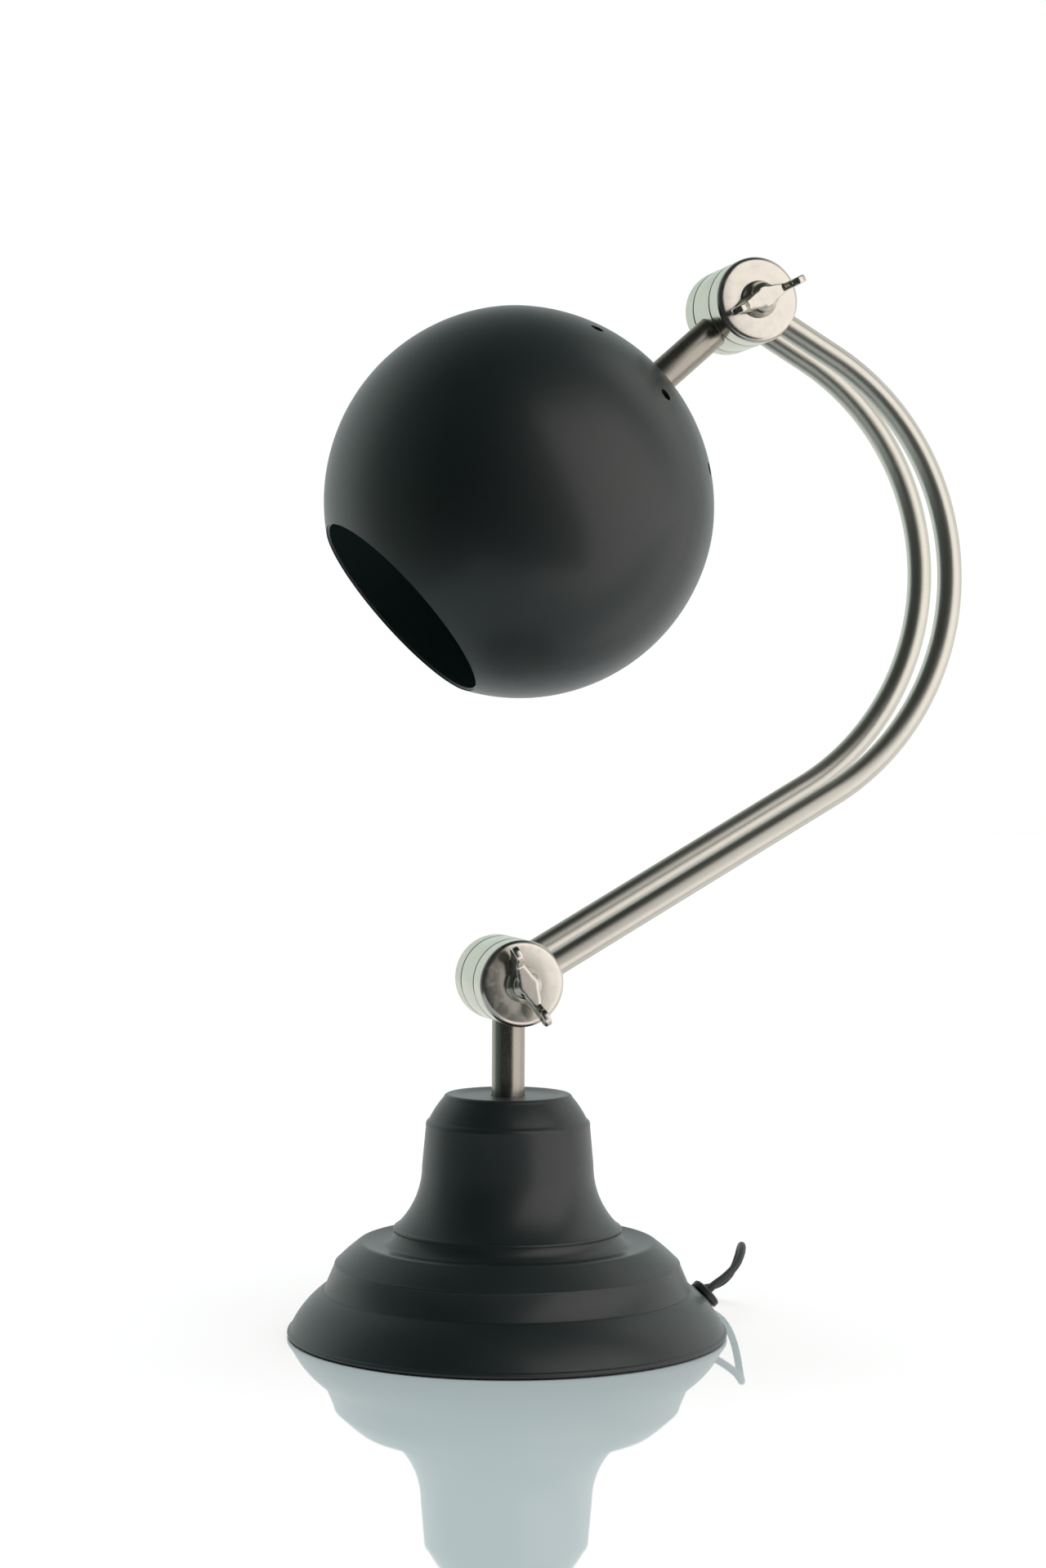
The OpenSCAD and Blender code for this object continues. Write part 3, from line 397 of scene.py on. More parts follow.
def lathe(name, section, place, finish, steps=96, inner=0):
    """Spin a closed section of (r, z) in millimetres round the Z axis of place.

    The last `inner` points are the inside of a shell: they are marked by an attribute.
    """
    verts, faces, local, rings = [], [], [], []
    for r, z in section:
        ring = []
        for k in range(steps if r > 1e-6 else 1):
            a = 2 * math.pi * k / steps
            spot = Vector((r * math.cos(a), r * math.sin(a), z)) * MM
            ring.append(len(verts))
            local.append(spot)
            verts.append(place @ spot)
        rings.append(ring)
    for low, high in zip(rings, rings[1:] + rings[:1]):
        for k in range(steps):
            quad = [low[k % len(low)], low[(k + 1) % len(low)],
                    high[(k + 1) % len(high)], high[k % len(high)]]
            face = list(dict.fromkeys(quad))
            if len(face) > 2:
                faces.append(face)
    mesh = bpy.data.meshes.new(name)
    mesh.from_pydata(verts, [], faces)
    store = mesh.attributes.new("local", "FLOAT_VECTOR", "POINT")
    store.data.foreach_set("vector", [x for spot in local for x in spot])
    if inner:
        inside_from = rings[-inner][0]
        marks = mesh.attributes.new("inside", "FLOAT", "POINT")
        marks.data.foreach_set("value", [float(i >= inside_from) for i in range(len(verts))])
    obj = new_piece(name, mesh, finish)
    settle(obj)
    return obj


def applied(obj):
    """Turn the evaluated object into a plain mesh and drop its modifiers."""
    graph = bpy.context.evaluated_depsgraph_get()
    mesh = bpy.data.meshes.new_from_object(obj.evaluated_get(graph))
    mesh.name = obj.name
    obj.modifiers.clear()
    obj.data = mesh
    return obj


def cut(obj, cutter):
    """Take the cutter out of obj, then delete the cutter."""
    work = obj.modifiers.new("cut", "BOOLEAN")
    work.operation, work.solver, work.object = "DIFFERENCE", "EXACT", cutter
    applied(obj)
    bpy.data.objects.remove(cutter)
    obj.data.set_sharp_from_angle(angle=math.radians(32))


def dress(obj, body, slot, *nodes):
    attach(obj, body)
    if nodes:
        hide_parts(*nodes)
    print(obj.name, "on", body, "-", len(obj.data.polygons), "faces")


print("mesh helpers ready")

# %% [markdown]
# ## The spun base
# The base is one sheet of steel, spun over a former into a skirt, a band, a shoulder, a
# groove and a bell. Its half section goes up the outside and down the inside, and the
# lathe closes it into a real shell. The felt pad under it is a low rounded disc.

# %% Base levels and radii
z_skirt, z_kink, z_band, z_shoulder = 2.6, 17.5, 18.0, 27.5
z_crest, z_foot = 35.7, 41.7
flare_r, flare_deg, bell_r = 32.0, 45.7, 33.0
z_flare = z_foot + flare_r * math.sin(math.radians(flare_deg))
z_wall = z_flare + 16.56
z_top = z_wall + 11.1
r_wall, r_top = bell_r - 1.4, bell_r - 1.4 - 7.8
r_foot = bell_r + flare_r * (1 - math.cos(math.radians(flare_deg)))
r_crest = r_foot + 14.15
r_shoulder = r_crest + 9.4
r_band = r_shoulder + 4
r_kink = r_band + .9
base_r = r_kink + 13.3
sheet, rest_h, dish, groove = 1.5, 0.5, 0.6, 0.9
pivot = Vector((0, 0, z_top + 43.6))
print("bell top", round(z_top, 2), "rim", round(base_r, 2), "pivot", round(pivot.z, 2))

# %% Base shell and pad
outside = (
    [(r_top - 1, z_top)] + bulge((r_top - .7, z_top), (r_top + 1, z_top - 1.3), .35, 6)
    + bulge((r_top + 1.1, z_top - 1.45), (r_wall - 1.3, z_wall + 1.5), .3, 8)
    + bulge((r_wall - 1.2, z_wall + 1.35), (r_wall, z_wall - 1.3), .5, 8)
    + arc((bell_r + flare_r, z_flare), flare_r, 180, 180 + flare_deg, 28)
    + bulge((r_foot + .25, z_foot - .22), (r_foot + 1.2, z_foot - 1.6), .45, 8)
    + bulge((r_foot + 1.15, z_foot - 2), (r_foot + 4.6, z_crest - groove + .15), -.75, 10)
    + bulge((r_foot + 5.2, z_crest - groove), (r_crest - 1.9, z_crest - .05), -.12, 8)
    + bulge((r_crest - 1.6, z_crest), (r_crest + 1, z_crest - .65), .32, 8)
    + bulge((r_crest + 1.3, z_crest - .9), (r_shoulder - .6, z_shoulder + .75), .2, 10)
    + bulge((r_shoulder - .45, z_shoulder + .6), (r_shoulder + .25, z_shoulder - .7), .28, 6)
    + [(r_band, z_band)] + bulge((r_band + .2, z_band - .3), (r_kink, z_kink), -.12, 4)
    + bulge((r_kink + .1, z_kink - .07), (base_r - .9, z_skirt), 1.25, 28)
    + bulge((base_r - .6, z_skirt - .1), (base_r - .5, rest_h), .6, 12))
lip_r, plate_z = base_r - 5.4, rest_h + sheet
inside = (
    [(lip_r, rest_h), (lip_r, plate_z), (base_r - 1.9 * sheet, plate_z)]
    + bulge((base_r - 1.7 * sheet, z_skirt), (r_kink - .5 * sheet, z_kink - sheet), -1.25, 16)
    + [(r_band - 1.05 * sheet, z_band - .7 * sheet), (r_shoulder - sheet, z_shoulder - .8 * sheet),
       (r_crest, z_crest - groove - sheet), (r_foot + 3.6, z_crest - groove - sheet),
       (r_foot - .2, z_crest + .5)]
    + arc((bell_r + flare_r, z_flare), flare_r + sheet, 180 + flare_deg - 2, 180, 16)
    + [(r_wall - sheet, z_wall - .4 * sheet), (r_top - .6 * sheet, z_top - dish - sheet),
       (6.7, z_top - dish - sheet), (6.7, z_top - dish), (r_top - 5, z_top - dish),
       (r_top - 3, z_top)])
base_shell = lathe("spun_base", outside + inside, Matrix(), "black_paint", 192)
dress(base_shell, "base", "black_paint", "base_shell")
pad = rounded([(0, 0, 0), (lip_r - .5, 0, .7), (lip_r - .5, plate_z, .3), (0, plate_z, 0)])
base_pad = lathe("felt_pad", pad, Matrix(), "felt", 120)
dress(base_pad, "base", "felt", "base_pad")

# %% [markdown]
# ## Post, knuckles and bolts
# Each pivot is a sandwich: a wide knuckle on the post or stem, a narrower one on each arm
# tube, and a bolt through all three. They are turned pieces with rounded rims. The lathe
# axis lies along Y here, which is a quarter turn of its frame about X.

# %% Places of the pivots
arm_deg, leg_low, bend_r, bend_deg, leg_high = 29.8, 146.9, 98.2, 120.7, 38.5
b = math.radians(bend_deg)
reach = Vector((leg_low + bend_r * math.sin(b) + leg_high * math.cos(b), 0,
                bend_r - bend_r * math.cos(b) + leg_high * math.sin(b)))
upper = pivot + Matrix.Rotation(math.radians(-arm_deg), 3, "Y") @ reach
shade_deg = 221.4
in_shade = Matrix.Translation(upper * MM) @ Matrix.Rotation(math.radians(90 - shade_deg), 4, "Y")
across = Matrix.Rotation(math.radians(-90), 4, "X")
at_lower = Matrix.Translation(pivot * MM) @ across
at_upper = Matrix.Translation(upper * MM) @ across
print("upper pivot", [round(x, 2) for x in upper])

# %% Post and stem
post_r, post_bore = 6.35, 5.05
post_foot, post_end = 16, pivot.z - 10
post = rounded([(post_bore, post_foot, 0), (post_r, post_foot, .3),
                (post_r, post_end, .3), (post_bore, post_end, 0)])
post_tube = lathe("post", post, Matrix(), "shaded_post_nickel", 72)
dress(post_tube, "base", "nickel", "post_tube")
stem_start = 10
stem = rounded([(post_bore, stem_start, 0), (post_r, stem_start, .3),
                (post_r, 46.75, .2), (post_bore, 46.57, 0)])
shade_stem = lathe("stem", stem, in_shade, "shaded_post_nickel", 72)
dress(shade_stem, "shade", "nickel", "shade_stem")

# %% Knuckles
knuckle_r, centre_half, outer_from, outer_face = 16.6, 8.7, 9.3, 19.8
rim_r, crown_from, crown_w, crown_h = 2.2, 7.6, 6.9, .24
centre = rounded([(0, -centre_half, 0), (knuckle_r, -centre_half, .5),
                  (knuckle_r, centre_half, .5), (0, centre_half, 0)])
rim = (rounded([(0, outer_from, 0), (knuckle_r, outer_from, .4), (knuckle_r, 17, 0)])
       + arc((knuckle_r - rim_r, 17.365), rim_r, 0, 86, 10)
       + [(crown_from + crown_w * f, outer_face - crown_h * f * f) for f in (.9, .75, .6, .4, .2, 0)]
       + [(0, outer_face)])
front_rim = [(r, -y) for r, y in rim]
for name, section, place, body, node in (
        ("lower_post_knuckle", centre, at_lower, "base", "lower_centre_knuckle"),
        ("lower_front_knuckle_cap", front_rim, at_lower, "arm", "lower_front_knuckle"),
        ("lower_rear_knuckle_cap", rim, at_lower, "arm", "lower_rear_knuckle"),
        ("upper_stem_knuckle", centre, at_upper, "shade", "upper_centre_knuckle"),
        ("upper_front_knuckle_cap", front_rim, at_upper, "arm", "upper_front_knuckle"),
        ("upper_rear_knuckle_cap", rim, at_upper, "arm", "upper_rear_knuckle")):
    dress(lathe(name, section, place, "turned_nickel", 128), body, "nickel", node)

# %% Bolts
head_r, head_h, bolt_r, bolt_end = 6.75, 3.4, 3, -26.9
dome = (head_r ** 2 + head_h ** 2) / (2 * head_h)
head_from = math.degrees(math.asin((dome - head_h) / dome))
head = arc((0, outer_face + head_h - dome), dome, head_from, 90, 12)
shank = [(0, bolt_end), (bolt_r - .5, bolt_end), (bolt_r, bolt_end + .5),
         (bolt_r, outer_face + .02), (head_r - .15, outer_face + .02)]
for name, place, node in (("lower_bolt_turned", at_lower, "lower_bolt"),
                          ("upper_bolt_turned", at_upper, "upper_bolt")):
    dress(lathe(name, shank + head, place, "steel", 64), "arm", "steel", node)

# %% [markdown]
# ## Wing nuts
# A wing nut is cast: its hub and wings flow into each other with soft fillets. Hub and
# wings are made as plain overlapping solids, melted into one skin by a voxel remesh and
# smoothed, and the blind hole for the bolt is bored afterwards so that its edge stays crisp.

# %% Wing nut
def wing_nut(name, spot, turned):
    place = Matrix.Translation((spot - Vector((0, 19.85, 0))) * MM) @ Matrix.Rotation(
        math.radians(90), 4, "X") @ Matrix.Rotation(math.radians(turned), 4, "Z")
    hub = ([(0, 0), (6.9, 0), (7.3, .4)] + bulge((7.3, 1), (5.6, 6.4), .5, 10)
           + bulge((5.5, 6.7), (3.9, 8.15), .3, 6) + [(0, 8.2)])
    nut = lathe(name, hub, Matrix(), "turned_nickel", 64)
    work = bmesh.new()
    work.from_mesh(nut.data)
    blade = [(4.5, .9), (7.3, 1.4), (11.5, 4.2), (16, 8.8), (11.4, 13.55), (8.1, 8.4), (4.5, 6.4)]
    tip = arc((13.1, 10.6), 3.4, 0, 360 * 31 / 32, 31)
    for outline in (blade, tip):
        for side in (1, -1):
            low = [work.verts.new((side * x * MM, -1.45 * MM, z * MM)) for x, z in outline]
            grown = bmesh.ops.extrude_face_region(work, geom=[work.faces.new(low)])["geom"]
            bmesh.ops.translate(work, vec=(0, 2.9 * MM, 0), verts=[
                g for g in grown if isinstance(g, bmesh.types.BMVert)])
    for side in (1, -1):
        root = [[work.verts.new((side * x * MM, y * k * MM, z * MM)) for x, y in
                 ((0, -5), (5, -3.6), (11, -1.2), (11, 1.2), (5, 3.6), (0, 5))]
                for z, k in ((1.6, 1.0), (8.2, 0.72))]
        work.faces.new(root[0])
        work.faces.new(root[1])
        for i in range(6):
            j = (i + 1) % 6
            work.faces.new((root[0][i], root[0][j], root[1][j], root[1][i]))
    bmesh.ops.recalc_face_normals(work, faces=work.faces)
    work.to_mesh(nut.data)
    work.free()
    melt = nut.modifiers.new("melt", "REMESH")
    melt.mode, melt.voxel_size = "VOXEL", 0.22 * MM
    soften = nut.modifiers.new("soften", "SMOOTH")
    soften.factor, soften.iterations = 0.5, 40
    applied(nut)
    bore = lathe(name + "_bore", [(0, -1), (3.05, -1), (3.05, 7.1), (0, 7.1)], Matrix(), "steel", 48)
    cut(nut, bore)
    for old in [a.name for a in nut.data.attributes if a.name == "local"]:
        nut.data.attributes.remove(nut.data.attributes[old])
    store = nut.data.attributes.new("local", "FLOAT_VECTOR", "POINT")
    store.data.foreach_set("vector", [x for v in nut.data.vertices for x in v.co])
    nut.data.transform(place)
    nut.data.shade_smooth()
    nut.data.set_sharp_from_angle(angle=math.radians(50))
    return nut


dress(wing_nut("lower_wing_nut_cast", pivot, -65), "lower_wing_nut", "nickel", "lower_wing_nut")
dress(wing_nut("upper_wing_nut_cast", upper, 27), "upper_wing_nut", "nickel", "upper_wing_nut")

# %% [markdown]
# ## The swing arm
# Each arm tube is a straight leg, one long bend and a short leg. That is a path with a
# round profile, so a small Geometry Nodes tree sweeps it: mesh edges become a curve, a
# circle follows it, and the tree stores "local" from the circle's place and the length
# along the path, so that the brushing follows the bend.

# %% Sweep tree
def sweep_tree():
    tree = bpy.data.node_groups.new("sweep a tube", "GeometryNodeTree")
    sockets = {}
    for name, kind in (("Path", "NodeSocketGeometry"), ("Radius", "NodeSocketFloat"),
                       ("Sides", "NodeSocketInt"), ("Finish", "NodeSocketMaterial")):
        sockets[name] = tree.interface.new_socket(name, in_out="INPUT", socket_type=kind).identifier
    tree.interface.new_socket("Tube", in_out="OUTPUT", socket_type="NodeSocketGeometry")
    given = put(tree, "NodeGroupInput").outputs
    path = put(tree, "GeometryNodeMeshToCurve", {0: given["Path"]}).outputs[0]
    along = put(tree, "GeometryNodeCaptureAttribute", {0: path}, domain="POINT")
    along.capture_items.new("FLOAT", "along")
    tree.links.new(put(tree, "GeometryNodeSplineParameter").outputs["Length"], along.inputs[1])
    circle = put(tree, "GeometryNodeCurvePrimitiveCircle",
                 {"Resolution": given["Sides"], "Radius": given["Radius"]}).outputs[0]
    round_it = put(tree, "GeometryNodeCaptureAttribute", {0: circle}, domain="POINT")
    round_it.capture_items.new("VECTOR", "spot")
    tree.links.new(put(tree, "GeometryNodeInputPosition").outputs[0], round_it.inputs[1])
    tube = put(tree, "GeometryNodeCurveToMesh", {"Curve": along.outputs[0],
                                                 "Profile Curve": round_it.outputs[0],
                                                 "Fill Caps": True}).outputs[0]
    spot = put(tree, "ShaderNodeSeparateXYZ", {0: round_it.outputs[1]}).outputs
    local = put(tree, "ShaderNodeCombineXYZ", {0: spot[0], 1: spot[1], 2: along.outputs[1]}).outputs[0]
    kept = put(tree, "GeometryNodeStoreNamedAttribute",
               {"Geometry": tube, "Name": "local", "Value": local},
               data_type="FLOAT_VECTOR", domain="POINT").outputs[0]
    real = put(tree, "GeometryNodeRealizeInstances", {0: kept}).outputs[0]
    made = put(tree, "GeometryNodeSetMaterial", {"Geometry": real, "Material": given["Finish"]})
    put(tree, "NodeGroupOutput", {0: made.outputs[0]})
    return tree, sockets


SWEEP, SWEEP_INPUT = sweep_tree()


def sweep(name, points, radius, sides, finish):
    """A tube of that radius in millimetres along points, also in millimetres."""
    mesh = bpy.data.meshes.new(name)
    mesh.from_pydata([Vector(p) * MM for p in points],
                     [(i, i + 1) for i in range(len(points) - 1)], [])
    obj = new_piece(name, mesh, finish)
    work = obj.modifiers.new("sweep", "NODES")
    work.node_group = SWEEP
    work[SWEEP_INPUT["Radius"]] = radius * MM
    work[SWEEP_INPUT["Sides"]] = sides
    work[SWEEP_INPUT["Finish"]] = FINISH[finish]
    applied(obj)
    obj.data.shade_smooth()
    obj.data.set_sharp_from_angle(angle=math.radians(40))
    return obj


print("sweep tree with inputs", ", ".join(SWEEP_INPUT))

# %% Arm tubes
tube_r, tube_y, tube_z, tube_clear = 4.75, 14.5, 1.25, 11.6


def arm_path(y, z, back=0.0):
    bend = [Vector((leg_low + bend_r * math.sin(t), 0, bend_r - bend_r * math.cos(t)))
            for t in [b * i / 96 for i in range(97)]]
    last = Vector((math.cos(b), 0, math.sin(b)))
    clear = tube_clear - back
    local = [Vector((clear, 0, 0))] + bend + [bend[-1] + last * (leg_high - clear)]
    turn = Matrix.Rotation(math.radians(-arm_deg), 3, "Y")
    return [pivot + turn @ p + Vector((0, y, z)) for p in local]


for name, side, node in (("front_tube", -1, "front_arm_tube"), ("rear_tube", 1, "rear_arm_tube")):
    path = arm_path(side * tube_y, side * tube_z)
    dress(sweep(name, path, tube_r, 56, "brushed_nickel"), "arm", "nickel", node)

# %% Hidden leads
weight_z = plate_z + 1.2
lead_z = weight_z + 2.2
inner = ([gland_nose, gland_at - 3.8 * gland_way, gland_at + Vector((-4.9, 0, -4)),
          (gland_at.x - 7.4, 0, lead_z), (gland_at.x - 14, 0, lead_z), (40, 0, lead_z), (16, 0, lead_z)]
         + [(x, 0, z) for x, z in arc((12, lead_z + 12), 12, 270, 180, 6)]
         + [(0, .8, lead_z + 18), (0, 2.4, lead_z + 25), (0, 3.2, lead_z + 32), (0, 3.2, pivot.z - 9)])
dress(sweep("lead_in_base", inner, cord_r, 12, "cord"), "base", "cord", "base_lead")
dress(sweep("lead_in_arm", arm_path(12.7, tube_z, 2.5), 1.42, 12, "cord"), "arm", "cord", "arm_lead")
in_stem = [in_shade @ (Vector(p) * MM) / MM for p in
           ((0, 3.2, 9), (0, 3.2, 12), (0, 1.9, 27.6), (0, 1.9, 68.2))]
dress(sweep("lead_in_stem", in_stem, cord_r, 12, "cord"), "shade", "cord", "stem_lead")

# %% [markdown]
# ## The globe shade
# The globe is spun like the base, a little flattened where the stem meets it. A ring of
# vent holes lets the bulb's heat out at the top. Geometry Nodes place the eight punches
# round the stem, and one exact boolean takes them out of the shell.

# %% Globe shell
globe_r, shade_reach, wall, crown_drop = 75.0, 120.0, 1.2, 1.4
knee_in, mouth_r, vent_ring = 13, 41.5, 48.5
knee_r = globe_r - knee_in
knee_x, knee_z = knee_in * math.sin(math.radians(60)), knee_in * math.cos(math.radians(60))
crown_a = 2 * math.degrees(math.atan((globe_r - crown_drop - knee_r - knee_z) / knee_x))
crown_r = knee_r + knee_x / math.sin(math.radians(crown_a))
mouth_a = 180 - math.degrees(math.asin(mouth_r / globe_r))
pole = shade_reach - globe_r + crown_drop


def skin_line(d, n):
    start = -90 + math.degrees(math.asin(post_bore / (crown_r - d)))
    return (arc((0, pole + crown_r), crown_r - d, start, -90 + crown_a, n)
            + arc((knee_x, shade_reach - knee_z), knee_r - d, -90 + crown_a, -30, 8)[1:]
            + arc((0, shade_reach), globe_r - d, -30, mouth_a - 90, 2 * n)[1:])


outer_skin, inner_skin = skin_line(0, 26), skin_line(wall, 26)[::-1]
lip = bulge(outer_skin[-1], inner_skin[0], .35, 6)[1:-1]
globe = lathe("globe", outer_skin + lip + inner_skin, in_shade, "globe_paint_and_painted_light", 160, len(inner_skin))
print("globe crown radius", round(crown_r, 2), "pole at", round(pole, 2), "mm")

# %% Vent punches
def punch_tree():
    tree = bpy.data.node_groups.new("ring of punches", "GeometryNodeTree")
    sockets = {}
    for name, kind in (("Host", "NodeSocketGeometry"), ("Count", "NodeSocketInt"),
                       ("Hole radius", "NodeSocketFloat"), ("Reach", "NodeSocketFloat"),
                       ("Tilt", "NodeSocketFloat"), ("First turn", "NodeSocketFloat"),
                       ("Centre", "NodeSocketFloat"), ("Finish", "NodeSocketMaterial")):
        sockets[name] = tree.interface.new_socket(name, in_out="INPUT", socket_type=kind).identifier
    tree.interface.new_socket("Punches", in_out="OUTPUT", socket_type="NodeSocketGeometry")
    given = put(tree, "NodeGroupInput").outputs
    middle = put(tree, "ShaderNodeCombineXYZ", {2: given["Centre"]}).outputs[0]
    spots = put(tree, "GeometryNodePoints", {"Count": given["Count"], "Position": middle}).outputs[0]
    rod = put(tree, "GeometryNodeMeshCylinder", {"Vertices": 48, "Radius": given["Hole radius"],
                                                 "Depth": 0.02}).outputs["Mesh"]
    outwards = put(tree, "ShaderNodeCombineXYZ", {2: given["Reach"]}).outputs[0]
    rod = put(tree, "GeometryNodeTransform", {"Geometry": rod, "Translation": outwards}).outputs[0]
    step = put(tree, "ShaderNodeMath", {0: math.tau, 1: given["Count"]}, operation="DIVIDE").outputs[0]
    angle = put(tree, "ShaderNodeMath", {0: put(tree, "GeometryNodeInputIndex").outputs[0], 1: step,
                                         2: given["First turn"]}, operation="MULTIPLY_ADD").outputs[0]
    facing = put(tree, "ShaderNodeCombineXYZ", {1: given["Tilt"], 2: angle}).outputs[0]
    facing = put(tree, "FunctionNodeEulerToRotation", {0: facing}).outputs[0]
    ring = put(tree, "GeometryNodeInstanceOnPoints", {"Points": spots, "Instance": rod,
                                                      "Rotation": facing}).outputs[0]
    real = put(tree, "GeometryNodeRealizeInstances", {0: ring}).outputs[0]
    made = put(tree, "GeometryNodeSetMaterial", {"Geometry": real, "Material": given["Finish"]})
    put(tree, "NodeGroupOutput", {0: made.outputs[0]})
    return tree, sockets


punches = new_piece("vent_punches", bpy.data.meshes.new("vent_punches"), "black_paint")
work = punches.modifiers.new("ring", "NODES")
work.node_group, PUNCH = punch_tree()
for name, value in (("Count", 8), ("Hole radius", 2.5 * MM), ("Reach", globe_r * MM),
                    ("Tilt", math.radians(180) - math.asin(vent_ring / globe_r)),
                    ("First turn", 0.0), ("Centre", shade_reach * MM),
                    ("Finish", FINISH["black_paint"])):
    work[PUNCH[name]] = value
applied(punches)
punches.data.transform(in_shade)
print("punches:", len(punches.data.polygons), "faces")
cut(globe, punches)
dress(globe, "shade", "black_paint", "shade_globe")

# %% [markdown]
# ## Lamp holder and bulb
# Inside the globe a plastic holder takes a round opal bulb. They only show through the
# mouth, but they are what the lamp is for. All are turned about the stem's axis.

# %% Holder and bulb
cap_in = 54.6564
skirt_in, shell_in = cap_in + 12, cap_in + 19.5
cap = rounded([(5.05, cap_in, 0), (14, cap_in, 2.2), (14, skirt_in - .1, .3), (12, skirt_in - .1, 0),
               (12, cap_in + 2.5, .8), (5.05, cap_in + 2.5, 0)])
dress(lathe("holder_cap_turned", cap, in_shade, "black_plastic", 72), "shade", "black_plastic",
      "holder_cap")
ribs = [(14, skirt_in + .1, .3)]
for k in range(6):
    at = skirt_in + 5 + 2.4 * k
    ribs += [(14, at, .2), (13.6, at + .35, .2), (13.6, at + .85, .2), (14, at + 1.2, .2)]
end = shell_in + 20
skirt = rounded([(12, skirt_in + .1, 0)] + ribs + [(14, end, .8), (9.5, end, .6), (9.5, end - 2, .3),
                                                    (12, end - 2, 0)], 3)
dress(lathe("holder_skirt_turned", skirt, in_shade, "black_plastic", 72), "shade", "black_plastic",
      "holder_skirt")
neck, ball_r = shell_in + 2.6 + 21, 22.5
ball = neck + 12 + ball_r
glass_out = ([(8, neck + 1.5), (8.15, neck + 4), (8.6, neck + 7), (9.6, neck + 10.6)]
             + arc((0, ball), ball_r, -58, 90, 40))
glass_in = arc((0, ball), ball_r - 1, 90, -58, 24) + [(7.6, neck + 7), (7, neck + 1.5)]
bulb = lathe("bulb", [p for p in glass_out if p[0] > 1e-3] + [(0, ball + ball_r), (0, ball + ball_r - 1)]
             + [p for p in glass_in if p[0] > 1e-3], in_shade, "opal", 96)
dress(bulb, "shade", "opal", "bulb_glass")

# %% [markdown]
# ## Gland, switch, plug and ties
# The gland is a small turned bush that grips the cord. The switch, the plug and the ties
# are moulded: their CAD solids already have the right form, so a copy of each is welded
# and its edges are bevelled, because moulded edges are round.

# %% Gland
at_gland = Matrix.Translation(gland_at * MM) @ Matrix.Rotation(math.radians(90 - gland_tilt), 4, "Y")
bush = rounded([(1.6, -3.8, 0), (4.6, -3.8, .2), (4.6, -2, 0), (5.25, -2, 0), (5.25, 1.2, .1),
                (6.2, 1.2, .3), (6.2, 3.4, .5), (5.2, 4, .3), (1.9, 4, .3), (1.6, 3.6, 0)])
dress(lathe("gland_bush", bush, at_gland, "black_plastic", 64), "base", "black_plastic", "cord_gland")

# %% Moulded pieces
def moulded(name, node, finish, edge, body, slot):
    """A welded copy of a CAD node with round edges."""
    obj = new_piece(name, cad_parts[node].data.copy(), finish)
    work = bmesh.new()
    work.from_mesh(obj.data)
    bmesh.ops.remove_doubles(work, verts=work.verts, dist=2e-6)
    bmesh.ops.dissolve_limit(work, angle_limit=math.radians(1), verts=work.verts, edges=work.edges)
    work.to_mesh(obj.data)
    work.free()
    soft = obj.modifiers.new("round edges", "BEVEL")
    soft.width, soft.segments, soft.limit_method = edge * MM, 3, "ANGLE"
    soft.angle_limit = math.radians(40)
    applied(obj)
    obj.data.shade_smooth()
    obj.data.set_sharp_from_angle(angle=math.radians(40))
    dress(obj, body, slot, node)
    return obj


on_cord = [
    moulded("switch_lower_half", "switch_base", "black_plastic", .5, "base", "black_plastic"),
    moulded("switch_upper_half", "switch_cover", "black_plastic", .7, "base", "black_plastic"),
    moulded("rocker", "switch_rocker", "rocker_plastic", .3, "switch_rocker", "rocker_plastic"),
    moulded("switch_screw_pair", "switch_screws", "steel", .15, "base", "steel"),
    moulded("plug", "plug_body", "black_plastic", 1.2, "base", "black_plastic"),
    moulded("plug_pins", "plug_blades", "brass", .25, "base", "brass"),
    moulded("coil_ties", "cord_ties", "black_plastic", .3, "base", "black_plastic"),
]

# %% [markdown]
# ## Finishes of the CAD pieces that stay
# Nuts, washers, ballast and contacts are right as the CAD has them, so they only get a
# better material.

# %% CAD pieces that stay
for finish, nodes in (("iron", ["base_weight"]),
                      ("steel", ["base_plate", "post_nuts", "post_washers", "gland_clip",
                                 "shade_nipple", "shade_washer", "shade_nut", "bulb_cap"]),
                      ("fibre", ["lower_friction_washers", "upper_friction_washers"]),
                      ("ceramic", ["holder_insert"]),
                      ("brass", ["screw_shell", "centre_contact", "switch_contacts"])):
    for node in nodes:
        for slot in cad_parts[node].material_slots:
            slot.material = FINISH[finish]
    print(finish, "on", ", ".join(nodes))

# %% [markdown]
# ## Floor and light
# The set is white: a glossy pale table that shows a faint mirror image of the base, a
# white sweep behind it, a dark room in front, one warm soft window of light at the right
# front with a pale wall beside it, and a dim fill at the left. Metal shows exactly that, so
# the world is painted by direction: that is where the dark and light bands on the nickel
# come from. The table is no larger than the picture needs, because its pale top would
# light the shaded side of the paint.

# %% Floor
floor_mesh = bpy.data.meshes.new("table_top")
left, near, far = -0.34, -0.38, 6
corners = [(left, near, 0), (far, near, 0), (far, far, 0), (left, far, 0)]
floor_mesh.from_pydata(corners, [], [(0, 1, 2, 3)])
table_top = bpy.data.objects.new("table_top", floor_mesh)
bpy.context.scene.collection.objects.link(table_top)
gloss_white = bpy.data.materials.new("glossy white table")
gloss_white.use_nodes = True
tree = gloss_white.node_tree
tree.nodes.clear()
body_white = put(tree, "ShaderNodeBsdfDiffuse", {"Color": (0.397, 0.462, 0.474, 1)})
mirror = put(tree, "ShaderNodeBsdfAnisotropic", {"Color": (0.67, 0.548, 0.546, 1), "Roughness": 0.03})
both = put(tree, "ShaderNodeAddShader", {0: body_white.outputs[0], 1: mirror.outputs[0]})
put(tree, "ShaderNodeOutputMaterial", {"Surface": both.outputs[0]})
floor_mesh.materials.append(gloss_white)
print("table top made")

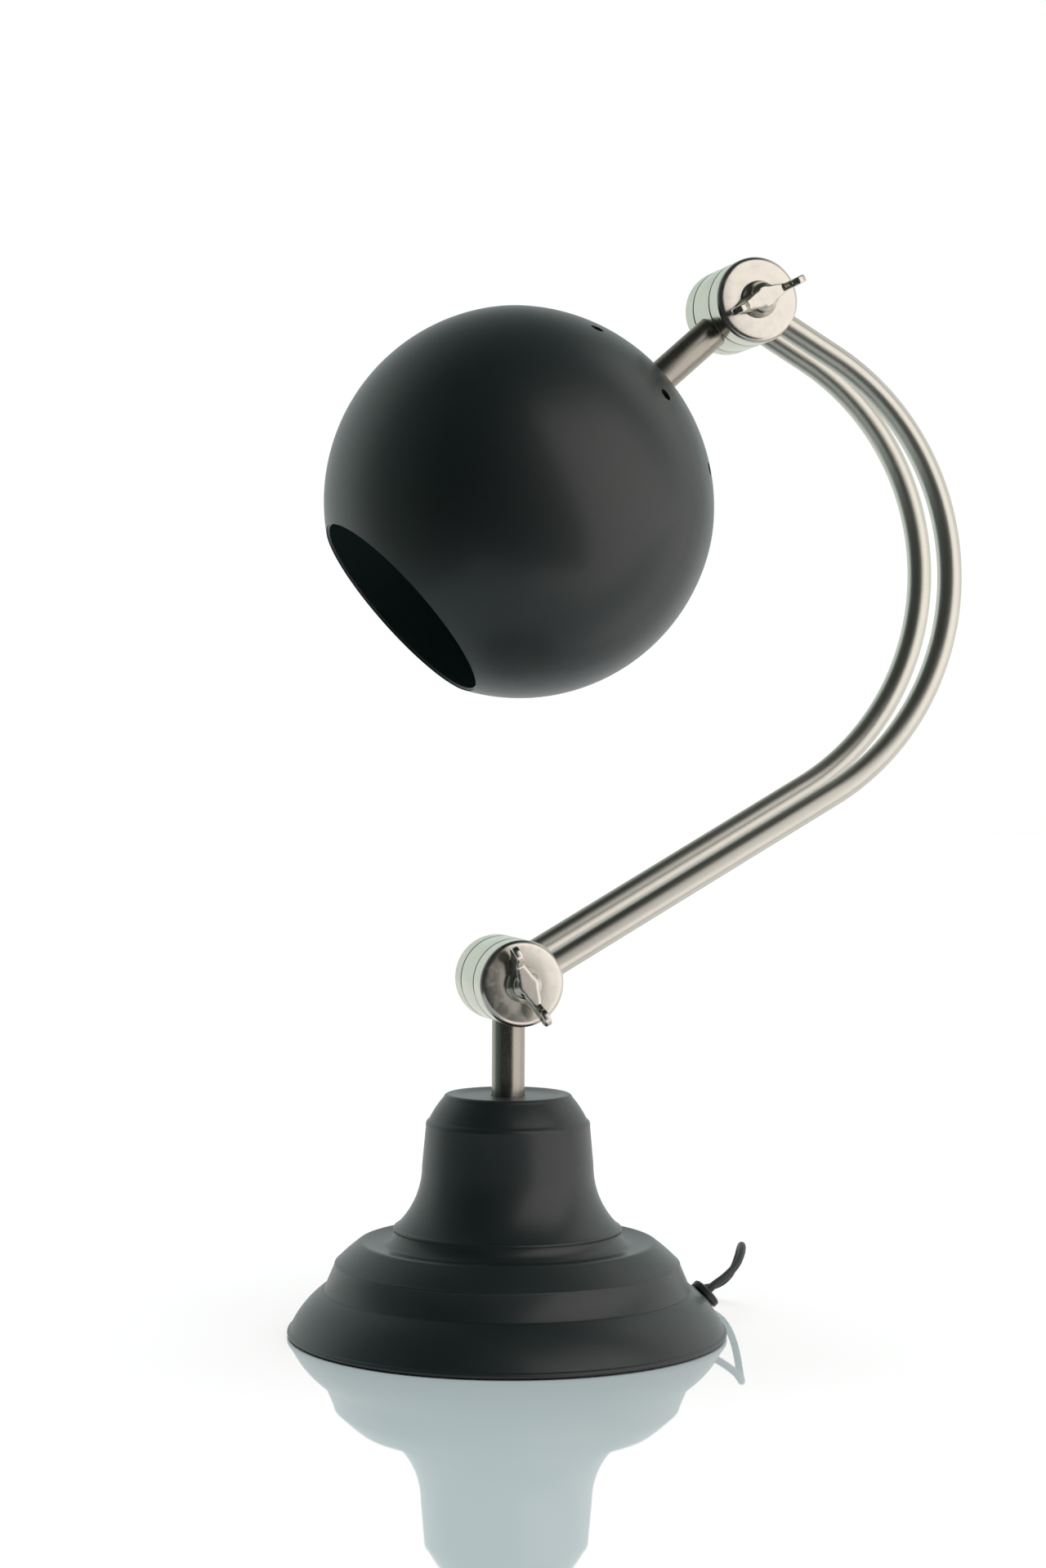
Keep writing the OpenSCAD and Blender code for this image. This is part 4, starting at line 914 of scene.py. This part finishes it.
# %% World
world = bpy.data.worlds.new("studio")
bpy.context.scene.world = world
world.use_nodes = True
tree = world.node_tree
tree.nodes.clear()
ray = put(tree, "ShaderNodeTexCoord").outputs["Generated"]
axis = put(tree, "ShaderNodeSeparateXYZ", {0: ray}).outputs


def edge(value, low, high):
    return put(tree, "ShaderNodeMapRange", {"Value": value, "From Min": low, "From Max": high},
               interpolation_type="SMOOTHSTEP").outputs[0]


def product(*values):
    total = values[0]
    for value in values[1:]:
        total = put(tree, "ShaderNodeMath", {0: total, 1: value}, operation="MULTIPLY").outputs[0]
    return total


def flipped(value):
    return put(tree, "ShaderNodeMath", {0: 1.0, 1: value}, operation="SUBTRACT").outputs[0]


def bearing(ahead):
    return put(tree, "ShaderNodeMath", {0: axis[0], 1: ahead}, operation="ARCTAN2").outputs[0]


def between(value, low, low_soft, high, high_soft):
    return product(edge(value, low - low_soft, low + low_soft),
                   flipped(edge(value, high - high_soft, high + high_soft)))


def shine(base, mask, colour):
    lit = tint(tree, mask, (0.0, 0.0, 0.0), colour)
    return put(tree, "ShaderNodeMix", {0: 1.0, 6: base, 7: lit}, data_type="RGBA",
               blend_type="ADD").outputs[2]


toward = put(tree, "ShaderNodeMath", {0: axis[1], 1: -1.0}, operation="MULTIPLY").outputs[0]
front, back = bearing(toward), bearing(axis[1])
slanted = put(tree, "ShaderNodeMath", {0: axis[2], 1: 0.49, 2: front},
              operation="MULTIPLY_ADD").outputs[0]
behind = product(between(back, -1.0, 0.35, 1.05, 0.12), flipped(edge(axis[2], 0.25, 1.1)))
side_wall = product(between(front, 1.42, 0.2, 2.1, 0.12), flipped(edge(axis[2], 0.7, 1.0)))
window = product(between(slanted, 0.262, 0.07, 1.42, 0.2), flipped(edge(axis[2], 0.6, 0.95)))
fill = product(between(front, -2.4, 0.25, -1.35, 0.25), flipped(edge(axis[2], 0.45, 0.95)))
room, backdrop = Vector((0.042, 0.046, 0.044)), Vector((0.85, 0.935, 0.915))
seen = tint(tree, behind, tuple(room), tuple(room + backdrop))
seen = shine(seen, fill, (0.12, 0.16, 0.15))
seen = shine(seen, side_wall, (1.05, 1.05, 1.02))
seen = shine(seen, window, (1.44, 1.39, 1.33))
camera_ray = put(tree, "ShaderNodeLightPath").outputs["Is Camera Ray"]
shown = put(tree, "ShaderNodeMix", {0: camera_ray, 6: seen, 7: (1, 1, 1, 1)},
            data_type="RGBA").outputs[2]
glow = put(tree, "ShaderNodeBackground", {"Color": shown, "Strength": 1.0})
put(tree, "ShaderNodeOutputWorld", {"Surface": glow.outputs[0]})
bpy.context.scene.view_settings.view_transform = "Standard"
print("world painted by direction")

# %% Overhead light
overhead = bpy.data.lights.new("overhead", "SUN")
overhead.energy, overhead.angle = 2.17, math.radians(60)
lamp = bpy.data.objects.new("overhead", overhead)
lamp.visible_glossy = False
bpy.context.scene.collection.objects.link(lamp)
print("overhead light", overhead.energy)
